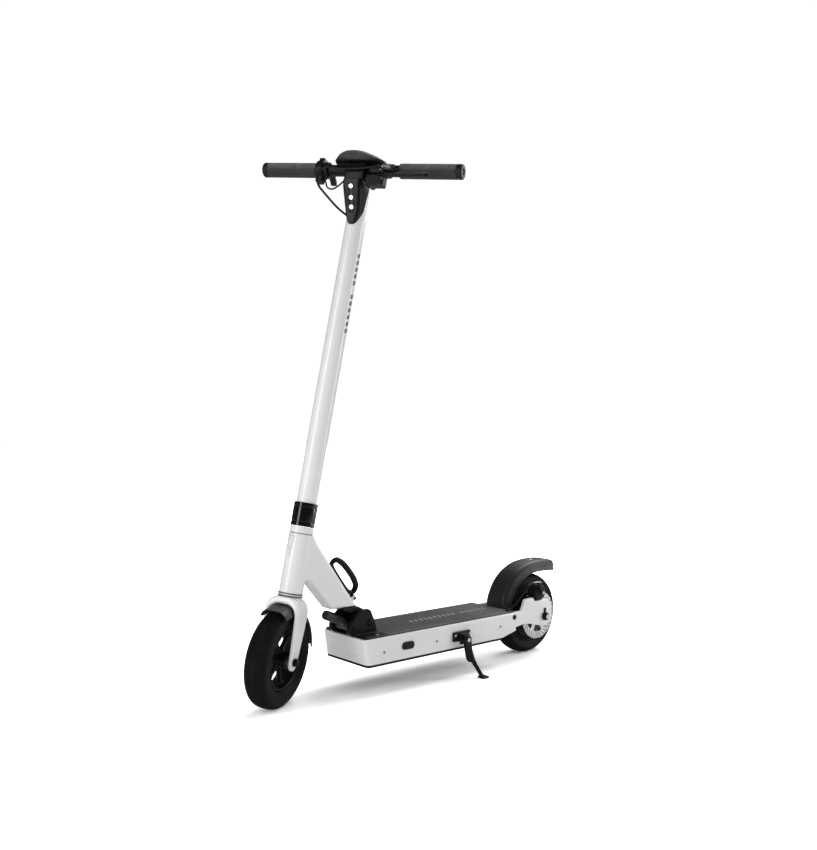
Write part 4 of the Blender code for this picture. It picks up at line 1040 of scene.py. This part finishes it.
def head_at(offset, height):
    """A point (x, z) beside the raked head tube at a height along it."""
    return (374.6 + offset * cos(RAKE) - height * sin(RAKE),
        98.93 + offset * sin(RAKE) + height * cos(RAKE))


def build_neck_casting():
    """The white beam and head tube, with two lugs for the pull ring, as one casting."""
    outline = [(188, 186), (205, 209), (292, 325), (306, 350), head_at(-12, 253), head_at(0, 255.4),
        head_at(0, 150), head_at(-14, 158), (314, 252), (255, 186)]
    beam = plate(outline, [1, 20, 60, 30, 4, 1, 1, 4, 10, 2], 6, -21.9, 21.9, 8.5)
    low, high = head_at(0, 133), head_at(0, 256)
    tube = bar((low[0], 0, low[1]), (high[0], 0, high[1]), 24.95, 96, 0.4)
    lugs = []
    for side in (1, -1):
        lug = [on_beam(-18, -6), (181.5, 199.5), (183, 205), (188.5, 206.5), on_beam(-4, -6)]
        lugs.append(plate(lug, [0, 2, 2, 2, 0], 4, *sorted((side * 5.9, side * 9.9)), 0.8))
    frame_mesh = cast([beam, tube] + lugs, 1.3, 9)
    below, above = head_at(0, 120), head_at(0, 280)
    frame_mesh = boolean(frame_mesh, [bar((below[0], 0, below[1]), (above[0], 0, above[1]), 21.8, 64,
        0.1), across(*RING_PIN, -20, 20, 2.3, 24, 0.1)])
    show("neck_casting", frame_mesh, ON_NECK, "white_paint", ["neck_frame"], 60)
    rivet = merged([across(*RING_PIN, -10.9, 10.9, 2, 24), across(*RING_PIN, -11, -9.8, 3.2, 24, 0.4),
        across(*RING_PIN, 9.8, 11, 3.2, 24, 0.4)])
    show("ring_rivet", rivet, ON_NECK, "black_paint", ["latch_ring_pin"])


def build_pull_ring():
    path = [(-10, 18), (-4, 34), (14, 38), (40, 37.5), (66, 33.5), (81, 26), (82, 9), (66, 8.4),
        (30, 8.4), (0, 9)]
    loop = pipe([from_ring_pin(*p) for p in path], 5.5,
        [1.05, 1.2, 1.25, 1.25, 1.25, 1.15, 0.9, 0.7, 0.62, 0.8], True)
    ring = cast([loop, across(0, 0, -5.3, 5.3, 5.4), bar((0, 0, 2), from_ring_pin(-6, 14), 4.5)], 0.8, 5)
    ring = boolean(ring, [across(0, 0, -10, 10, 2.3, 24, 0.1)])
    show("pull_ring", ring, (RING, "latch_ring"), "black_paint", ["latch_ring"], 60)


def build_headset():
    lower = [(18, 128.9), (24.9, 128.9), (24.9, 131.5), (21.5, 131.5), (21.5, 146), (18, 146)]
    upper = [(18, 255), (21.5, 255), (21.5, 257), (24.9, 257), (24.9, 270.6), (18, 270.6)]
    for name, node, outline in (("headset_lower", "headset_cup_lower", lower),
            ("headset_upper", "headset_cup_upper", upper)):
        show(name, turned(outline, 0.5, 3, 96), ON_HEAD, "white_paint", [node])
    for name, low, high in (("crown_seal", 127.1, 128.8), ("lower_seal", 131.6, 133.4),
            ("upper_seal", 256.2, 256.9)):
        out = 24.1 if name == "upper_seal" else 26.2
        ring = corners(21.6, low, out, high)
        show(name, turned(ring, 0.2, 2, 96), ON_HEAD, "seal_grey")


def build_head_plate():
    show("head_plate", badge_piece(26, 225.5, 250, 11, 1.2), ON_HEAD, "badge")
    # The grey seam round the badge also paints the shade along the plate's edge.
    show("head_plate_edge_shade", badge_piece(25.3, 224.9, 250.6, 11.2, 0.5), ON_HEAD, "seam_grey")
    show("head_boss", badge_piece(27.6, 206, 223.5, 8, 2.4), ON_HEAD, "white_paint")


def badge_piece(radius, low, high, half, edge):
    """A plate bent round the front of the head tube."""
    shell = turned(corners(23.5, low, radius, high), [0, edge, edge, 0], 4, 144)
    window = plate([(-half * 0.8, low), (half * 0.8, low), (half, high), (-half, high)], 4, 6, 15, 32,
        0.2, "YZ")
    return boolean(shell, [window], "INTERSECT")


# ---- fork and stem
CROWN_STEPS = 12


def fork_path():
    """Pairs of (across, along) points on the inner and outer faces, up one blade and down the other."""
    heights = (-18, -17, -14, -9, -2, 8, 20, 34, 48, 60, 70, 78, 85)
    path = [((31, s), (38.9, s)) for s in heights]
    for k in range(1, CROWN_STEPS):
        a = 0.5 * pi * k / CROWN_STEPS
        path.append(((31 * cos(a) ** 0.8, 85 + 26.6 * sin(a) ** 0.85),
            (38.9 * cos(a) ** 0.62, 92 + 35 * sin(a) ** 0.9)))
    path.append(((0, 85 + 26.6), (0, 92 + 35)))
    return path + [((-i[0], i[1]), (-o[0], o[1])) for i, o in path[-2::-1]]


def fork_edges(s):
    """Where a blade's rear and front edges are at height s."""
    if s < 0:
        swing = sqrt(max(0, 1 - (s / 18.4) ** 2))
        return 6.5 - 14.6 * swing, 6.5 + 13.8 * swing
    t = min(s, 104) / 104
    return -8.1 - 13.5 * t ** 0.8, 20.4 + 9.4 * t ** 1.1


def build_fork():
    """A forged fork: two blades that run into a domed crown, and the steerer above it."""
    rings = []
    for inner, outer in fork_path():
        low, high = fork_edges(0.5 * (inner[1] + outer[1]))
        ring = []
        for u, v in squared(28, 0.42):
            out = 0.5 + 0.5 * v
            ring.append(((low + high) / 2 + (high - low) / 2 * u, inner[0] * (1 - out) + outer[0] * out,
                inner[1] * (1 - out) + outer[1] * out))
        rings.append(ring)
    blades = skin(rings)
    boss = turned([(15, 112), (25.6, 112), (25, 127), (15, 127)], [0, 1, 1.5, 0], 3, 72)
    crown = cast([blades, boss], 1.1, 6)
    steerer = turned(corners(14.5, 122, 17.6, 340), 0.5, 3, 72)
    fork = merged([crown, steerer])
    axle = across(*FRONT_AXLE, -50, 50, 5.3, 40, 0.1)
    show("fork_blades", boolean(fork, [axle]), ON_BARS, "white_paint", ["fork"], 60)


def build_stem():
    tube = turned([(21.45, 1008), (21.45, 273.4), (18, 273.4), (18, 1008)], 0.5, 3, 96)
    show("stem", tube, ON_BARS, "white_paint", ["stem_tube"])


def build_stem_marks():
    """Slanted marks up the side of the stem, cut out of a thin sleeve."""
    def outline(i):
        low = 685 + 15 * i
        return [(-6.5, low), (6.5, low + 4), (6.5, low + 13), (-6.5, low + 9)]
    window = slanted_marks(12, outline, 0.8, 15, 30, "YZ")
    window.transform(turn(radians(92), "Z"))
    stripes = lathe(corners(21.2, 684, 21.56, 868), 128)
    show("stem_marks", boolean(stripes, [window], "INTERSECT"), ON_BARS, "stem_print")


def build_collar():
    collar = turned([(21.9, 320), (21.9, 270.9), (24.5, 270.9), (25.1, 271.9), (25.1, 279), (24.6, 279.6),
        (24.6, 280.6), (25.1, 281.2), (25.1, 310), (24.6, 310.6), (24.6, 311.6), (25.1, 312.2),
        (25.1, 318.6), (24.4, 320)], 0.4, 3, 128)
    collar = boolean(collar, [brick((-32, -1, 260), (-15, 1, 330), 0.1)])
    show("collar", collar, ON_BARS, "collar_gloss", ["clamp_collar"], 35)
    bolts("collar_screws", [shift(-22.6, 8.6, s) @ FACING_BACK @ turn(radians(-20), "X")
        for s in (284, 307)], ON_BARS, "bright_steel", 2.6, 1.5)


# ---- handlebar
def build_bar():
    x, s = BAR_AHEAD, BAR_S
    tube = across(x, s, -230.8, 230.8, 12.5, 64)
    show("bar", tube, ON_BARS, "black_paint", ["handlebar"])


def grip_ribs(length):
    """The small lozenges moulded into a grip's sleeve."""
    def ribbed(i, r, h):
        if 6 < h < length - 16 and r > 15.9:
            wave = sin(2 * pi * (h / 4.4 + i / 8)) * sin(2 * pi * (h / 4.4 - i / 8))
            return r - 0.32 * (0.5 + 0.5 * wave)
        return r
    return ribbed


def cap_notches(length):
    """Notches round the rim of a grip's end cap."""
    return lambda i, r, h: r - (0.5 if r > 15.9 and i % 8 < 3 and length - 9 < h < length - 3 else 0)


def build_grips():
    x, s = BAR_AHEAD, BAR_S
    for hand, side, start in (("left", 1, 95.2), ("right", -1, 101.2)):
        length = GRIP_OUT - start
        rows = [(16.15, h * 0.55) for h in range(11, int((length - 16) / 0.55))]
        outline = [(12.9, 0), (15.2, 0), (16.1, 0.6), (16.2, 2.8), (15.7, 3.4), (15.7, 4.4),
            (16.1, 5)] + rows
        outline += [(16.15, length - 12.8), (15.6, length - 12.2), (15.6, length - 11.6),
            (12.9, length - 11.6)]
        grip = lathe(outline, 96, grip_ribs(length))
        grip.transform(shift(x, side * start, s) @ facing(side))
        show(f"grip_sleeve_{hand}", grip, ON_BARS, "grip_rubber", [f"grip_{hand}"], 80)
        cap = turned([(0, length - 8), (0, length - 1.4), (6, length - 1.4), (7.5, length),
            (14.6, length), (16.2, length - 2), (16.2, length - 9.8), (15.2, length - 11.2),
            (12.9, length - 11.2), (12.9, length - 8)], [0, 0, 0.5, 0.5, 1.2, 1, 0.8, 0.3, 0, 0], 4, 96,
            cap_notches(length))
        cap.transform(shift(x, side * start, s) @ facing(side))
        show(f"grip_cap_{hand}", cap, ON_BARS, "black_plastic", smooth=50)


def build_bar_holder():
    x, s = BAR_AHEAD, BAR_S
    outline = [(-22, 1014), (-22, 1026), (-12, 1046), (8, 1054.4), (36, 1054.4), (46, 1046), (50, 1028),
        (48, 1009)]
    clamp = plate(outline, [3, 8, 8, 5, 5, 8, 8, 3], 6, -22.8, 22.8, 3)
    clamp = boolean(clamp, [across(x, s, -40, 40, 12.9, 64, 0.1)])
    clamp = merged([clamp, bar((0, 0, 985), (0, 0, 1012), 17.6, 64)])
    show("bar_holder", clamp, ON_BARS, "black_paint", ["bar_clamp"], 40)
    spots = [shift(-21.9, y, 1017) @ FACING_BACK for y in (-12, 12)]
    bolts("bar_holder_screws", spots, ON_BARS, "bright_steel", 3.2, 1.8)


LAMP_FACE = shift(42.5, 0, 971) @ turn(atan2(23, 46), "Y")


def build_lamp():
    """A tapering wedge with a seat down its face for the smoked strip and a chin that wraps the stem."""
    keys = [(919.2, 24.4, 2.6, 4.6), (920.5, 25.2, 5, 7.6), (924, 26.4, 7.5, 11), (934, 28.4, 10.5, 15),
        (948, 31, 13, 18.5), (971, 42.5, 14.8, 20.6), (994, 53.9, 16.5, 22.7), (1006.5, 56.8, 17, 22.9),
        (1008.3, 56, 16.2, 22)]
    rings = []
    for height, front, nose, side in flowing(keys, 5):
        outline = fillet([(10, -side), (front - 6, -side + 1.5), (front, -nose), (front, nose),
            (front - 6, side - 1.5), (10, side)], [0.5, 0.32 * side, 3, 3, 0.32 * side, 0.5], 6)
        rings.append([(x, y, height) for x, y in outline])
    lamp = skin(rings)
    seat = plate(corners(-5.2, -32, 5.2, 32), 4, 6, -1.4, 6, 0.2, "YZ")
    seat.transform(LAMP_FACE)
    lamp = boolean(lamp, [bar((0, 0, 900), (0, 0, 1020), 21.75, 96, 0.1), seat])
    show("lamp_shell", lamp, ON_BARS, "gloss_plastic", ["light_housing"], 30)


def build_lamp_window():
    window = plate(corners(-4.9, -31.7, 4.9, 31.7), 3.8, 6, -1.1, 0.3, 0.3, "YZ")
    window.transform(LAMP_FACE)
    show("lamp_window", window, ON_BARS, "smoked", ["led_lens"])


def build_leds():
    for i, along in enumerate((-23.5, 0, 20)):
        at = LAMP_FACE @ shift(0.2, 0, -along) @ ALONG_X
        lens = turned([(0, 0), (4.3, 0), (4.3, 0.9), (2.4, 1.7), (0, 1.9)], [0, 0, 0.5, 1.5, 0], 4, 48)
        lens.transform(at)
        show(f"lamp_led_{i}", lens, ON_BARS, "lens")
        ring = turned(corners(4.4, 0, 4.8, 0.8), 0.15, 2, 40)
        ring.transform(at)
        show(f"lamp_bezel_{i}", ring, ON_BARS, "gloss_plastic")


def build_display_cover():
    keys = [(1055.2, -4.5, 55.8, 28.8, 14), (1055.8, -4.5, 57.4, 30.4, 14), (1060, -5, 59.8, 32.8, 14),
        (1062, -5.6, 59, 32.8, 14), (1066, -8, 55, 31.9, 14), (1074, -14, 45, 28, 13),
        (1080, -19, 34, 23.5, 12), (1082.4, -20.6, 28, 19.6, 12), (1082.9, -21, 24.6, 17, 12)]
    rings = []
    for height, side, half_width, half_depth, ahead in flowing(keys, 4):
        rings.append([(ahead + half_depth * swell(u, 0.92), side + half_width * swell(v, 0.92), height)
            for u, v in circle(1, 96)])
    dome = skin(rings)
    seat = plate(corners(0.8, -38.2, 23.2, -10.8), 2, 4, 1081.3, 1090, 0.1, "XY")
    dome = boolean(dome, [seat, bar((12, -2, 1078), (12, -2, 1090), 4.3, 48, 0.1)])
    # The cover's lighter black and lighter top are a painted highlight.
    show("display_cover", dome, ON_BARS, "satin_dome", ["display_housing"], 40)


def build_display_face():
    glass = plate(corners(1.1, -37.9, 22.9, -11.1), 1.8, 4, 1081.6, 1083.1, 0.3, "XY")
    show("display_glass", glass, ON_BARS, "smoked", ["display_screen"])
    marks = [plate(corners(8, y, 8 + 2.2 * (i + 1), y + 3), 0.3, 2, 1082.9, 1083.2, 0.05, "XY")
        for i, y in enumerate((-33, -28, -23, -18))]
    show("display_marks", merged(marks), ON_BARS, "screen_mark")
    skirt = plate(corners(-17, -58, 44, 50), 26, 12, 1053.6, 1055.4, 0.5, "XY")
    show("display_base", skirt, ON_BARS, "black_plastic")


def build_button():
    button = turned([(0, -1.1), (3.9, -1.1), (3.9, 2.6), (2.6, 3.2), (0, 2.9)], [0, 0.2, 0.7, 0.7, 0], 4,
        48)
    button.transform(shift(12, -2, 1081))
    show("button", button, (BARS, "power_button"), "black_plastic", ["power_button"])


def build_lever_bracket():
    upright = turn(-DROOP, "Y")
    box = plate([(1, -40.5), (1, -12), (9, -6), (21.8, -17), (21.8, -40.5)], [2, 3, 3, 3, 2], 4, 26, 67.6,
        1.4)
    box.transform(upright)
    bracket = cast([across(0, 0, 49.2, 72.8, 15.5, 64, 1.2),
        brick((8, 56.2, -8.8), (42.8, 73.8, 7.8), 1.5), brick((20, 66, 5), (34.3, 92.8, 9.1), 1),
        brick((24.7, 86.4, 6), (35.3, 92.8, 18.3), 1.4), box], 0.8, 5)
    bracket = boolean(bracket, [across(0, 0, 20, 110, 12.9, 64, 0.1),
        brick((26, 50, -4.4), (60, 80, 4.2), 0.1), bar((LEVER_X, LEVER_Y, -20), (LEVER_X, LEVER_Y, 20),
        2.8, 24, 0.1)])
    show("lever_bracket", bracket, ON_MOUNT, "black_plastic", ["brake_bracket"], 50)
    pin = merged([bar((LEVER_X, LEVER_Y, -10.3), (LEVER_X, LEVER_Y, 9.3), 2.5, 24),
        bar((LEVER_X, LEVER_Y, 7.9), (LEVER_X, LEVER_Y, 9.6), 4, 32)])
    show("lever_pin", pin, ON_MOUNT, "bright_steel", ["brake_lever_pin"])
    bolts("lever_clamp_screws", [shift(-14.6, 61, -4) @ FACING_BACK], ON_MOUNT, "bright_steel", 2.4, 1.4)


def knurled(i, r, h):
    """Flats along the barrel adjuster."""
    return r - (0.35 if r > 4 and i % 6 < 2 and h > 11 else 0)


def build_adjuster():
    knurl = turned([(2.9, 0), (2.9, 20.8), (3.6, 20.8), (4.2, 19.6), (4.2, 11), (3.4, 10), (3.4, 6),
        (4.2, 5), (4.2, 0.8), (3.6, 0)], 0.2, 2, 96, knurled)
    knurl.transform(shift(30, 65, 13.9) @ ALONG_Y)
    show("adjuster", knurl, ON_MOUNT, "cast_alloy", ["barrel_adjuster"])


def build_lever_blade():
    rings = []
    keys = [(-6.2, 2, -5.4, 3), (-5, 4, -6, 3.7), (0, 8.6, -6.2, 3.8), (7, 11, -5, 3.8),
        (16, 13.2, 1.2, 3.8), (42, 16, 6.2, 3.8), (76, 18.2, 9.4, 3.9), (98, 17.4, 9.2, 4.2),
        (106, 16.8, 9.4, 4.4), (109.4, 15.4, 11, 3.4), (110.3, 13.6, 12.6, 1.2)]
    for y, front, rear, half in flowing(keys, 6):
        rings.append([((front + rear) / 2 + (front - rear) / 2 * swell(u, 0.6), y,
            min(half, 3.8) * swell(v, 0.6)) for u, v in circle(1, 32)])
    blade = skin(rings)
    blade = boolean(blade, [bar((0, 0, -15), (0, 0, 15), 2.8, 24, 0.1)])
    show("lever_blade", blade, (LEVER, "brake_lever"), "black_paint", ["brake_lever"], 50)


def build_throttle_case():
    x, s = BAR_AHEAD, BAR_S
    drum = turned([(13, 0), (19.6, 0), (21.4, 2), (21.4, 15.4), (19.6, 17.3), (13, 17.3)],
        [0, 1, 1, 1, 1, 0], 4, 96)
    drum.transform(shift(x, -83.1, s) @ FACING_RIGHT)
    body = cast([drum, brick((x - 8, -98.8, s + 14), (x + 8, -86.2, s + 26.8), 2.5),
        brick((x - 8, -98.8, s - 29.8), (x + 11, -84.2, s - 14), 2)], 0.8, 4)
    body = boolean(body, [across(x, s, -110, -80, 12.9, 64, 0.1)])
    show("throttle_case", body, ON_BARS, "black_plastic", ["throttle_body"], 50)
    bolts("throttle_screws", [shift(x, -92.5, s + 26.7)], ON_BARS, "bright_steel", 2.2, 1)


def build_thumb_paddle():
    blade = plate([(-13, -6), (-33, -22), (-35.9, -19), (-34.9, -14), (-16, 4)], [1, 4, 2, 3, 1], 5, -4.9,
        8.9, 1.6)
    hub = turned(corners(13.4, -5, 17.9, 5.4), [0, 1.2, 1.2, 0], 4, 80)
    hub.transform(FACING_RIGHT)
    paddle = boolean(cast([hub, blade], 0.8, 4), [across(0, 0, -10, 10, 13.15, 64, 0.1)])
    show("thumb_paddle", paddle, (PADDLE, "throttle"), "black_plastic", ["throttle_paddle"], 50)


def build_cables():
    x, s = BAR_AHEAD, BAR_S
    ahead = x + 30 * cos(DROOP) + 13.9 * sin(DROOP)
    height = s - 30 * sin(DROOP) + 13.9 * cos(DROOP)
    show("brake_hose", pipe([(ahead, 79, height), (ahead, 68, height), (ahead, 56, height),
        (56.5, 30, s - 8), (57, 0, s - 11), (56, -35, s - 10), (53, -66, s - 3), (50, -88, s - 14),
        (47, -84, s - 42), (48, -62, s - 62), (40, -38, s - 84), (28, -23, s - 95.5), (22, -12, s - 101)],
        2.4), ON_BARS, "black_plastic", ["brake_cable"], 60)
    show("throttle_wire", pipe([(x + 6, -82.6, s - 22), (x + 8, -74, s - 26), (x + 12, -66, s - 46),
        (x + 13, -44, s - 48), (x + 10, -27, s - 24)], 1.8), ON_BARS, "black_plastic", ["throttle_cable"],
        60)


# ---- stage
FLOOR_SEEN, ROOM, MIRRORED_ROOM, BEHIND = 2.2, 0.26, 0.1, 1.02
MIDDLE = Vector((0.05, 0, 0.6))
CAMERA_AT = Vector((1.478060, 1.584000, 0.595100))
CAMERA_AHEAD, CAMERA_UP = Vector((-0.67159, -0.74087, -0.00845)), Vector((0.00735, -0.01806, 0.99981))
SOFT_BOXES = (
    ("key", (2.7, 0.05, 1.25), (0.8, 2.4), 26, True),
    ("side", (-2.4, 1.6, 1.05), (0.5, 2.3), 26, True),
    ("top", (-1.9, -0.5, 2.4), (2.2, 2.2), 58, True),
    ("fill", (2.3, 1.5, 0.5), (1.2, 0.8), 17.5, False))


def for_camera(look, seen, lit):
    """One value where the camera looks straight at a surface and another where light bounces off it."""
    path = look.node("LightPath")
    return look.mix(path.outputs["Is Camera Ray"], lit, seen)


def build_floor(half=14):
    """A pale sweep under and behind the scooter."""
    mesh = bpy.data.meshes.new("sweep")
    mesh.from_pydata([(x, y, 0) for x, y in corners(-half, -half, half, half)], [], [(0, 1, 2, 3)])
    floor = new_object("sweep", mesh)
    look = Look("sweep")
    away = look.node("VectorMath", {"operation": "LENGTH"}, _0=look.where).outputs["Value"]
    pale = look.mix(look.between(away, 0, 1, 1, 3), grey(FLOOR_SEEN), grey(FLOOR_SEEN * 3))
    cloudy = look.mix(look.between(look.noise(3), 0, 1), grey(0.78), grey(0.8))
    look.done(for_camera(look, pale, cloudy), 0.9, **{"Specular IOR Level": 0})
    mesh.materials.append(look.material)


def build_world():
    """A white room: one strength for light, one in mirrors and one behind the scooter."""
    world = bpy.data.worlds.new("studio")
    bpy.context.scene.world = world
    world.use_nodes = True
    tree = world.node_tree
    path = tree.nodes.new("ShaderNodeLightPath")
    level = None
    for ray, value in (("Is Glossy Ray", MIRRORED_ROOM), ("Is Camera Ray", BEHIND)):
        strength = tree.nodes.new("ShaderNodeMapRange")
        tree.links.new(path.outputs[ray], strength.inputs["Value"])
        strength.inputs["To Min"].default_value = ROOM
        strength.inputs["To Max"].default_value = value
        if level is not None:
            tree.links.new(level, strength.inputs["To Min"])
        level = strength.outputs["Result"]
    tree.links.new(level, tree.nodes["Background"].inputs["Strength"])
    tree.nodes["Background"].inputs["Color"].default_value = grey(1)


def build_lights():
    """Soft boxes round the scooter, all aimed at its middle."""
    for name, at, size, power, mirrored in SOFT_BOXES:
        light = bpy.data.lights.new(name, "AREA")
        light.shape, light.size, light.size_y, light.energy = "RECTANGLE", size[0], size[1], power
        lamp = new_object(name, light)
        lamp.location = at
        lamp.rotation_euler = (MIDDLE - Vector(at)).to_track_quat("-Z", "Y").to_euler()
        lamp.visible_camera, lamp.visible_glossy = False, mirrored


def build_camera():
    """The photograph's camera, found from the object's measures."""
    data = bpy.data.cameras.new("camera")
    data.lens, data.sensor_width = 40.02, 36
    data.clip_start, data.clip_end = 0.05, 60
    camera = new_object("camera", data)
    ahead = CAMERA_AHEAD.normalized()
    right = ahead.cross(CAMERA_UP).normalized()
    up = right.cross(ahead)
    camera.matrix_world = Matrix.LocRotScale(CAMERA_AT, Matrix((right, up, -ahead)).transposed(), None)
    bpy.context.scene.camera = camera
    bpy.context.scene.view_settings.view_transform = "Standard"


SLOT_OF = {part["node"]: part["material_slot"] for part in frame["record"]["subparts"]}
for node, thing in NODES.items():
    thing.data.materials.clear()
    thing.data.materials.append(LOOKS[SLOT_OF[node]])

for build in (build_floor, build_world, build_lights, build_camera, build_tyres, build_front_rim,
        build_bearing_caps, build_rear_hub, build_hub_screws, build_disc, build_axles, build_deck_case,
        build_deck_cover, build_deck_mat, build_deck_marks, build_deck_fittings, build_charge_port,
        build_dropouts, build_rear_fender, build_front_fender, build_caliper, build_caliper_arm,
        build_rear_cables, build_stand_bracket, build_stand_leg, build_hinge_block, build_hinge_bolts,
        build_hinge_tongue, build_fold_pedal, build_neck_casting, build_pull_ring, build_headset,
        build_head_plate, build_fork, build_stem, build_stem_marks, build_collar, build_bar, build_grips,
        build_bar_holder, build_lamp, build_lamp_window, build_leds, build_display_cover,
        build_display_face, build_button, build_lever_bracket, build_adjuster, build_lever_blade,
        build_throttle_case, build_thumb_paddle, build_cables):
    build()
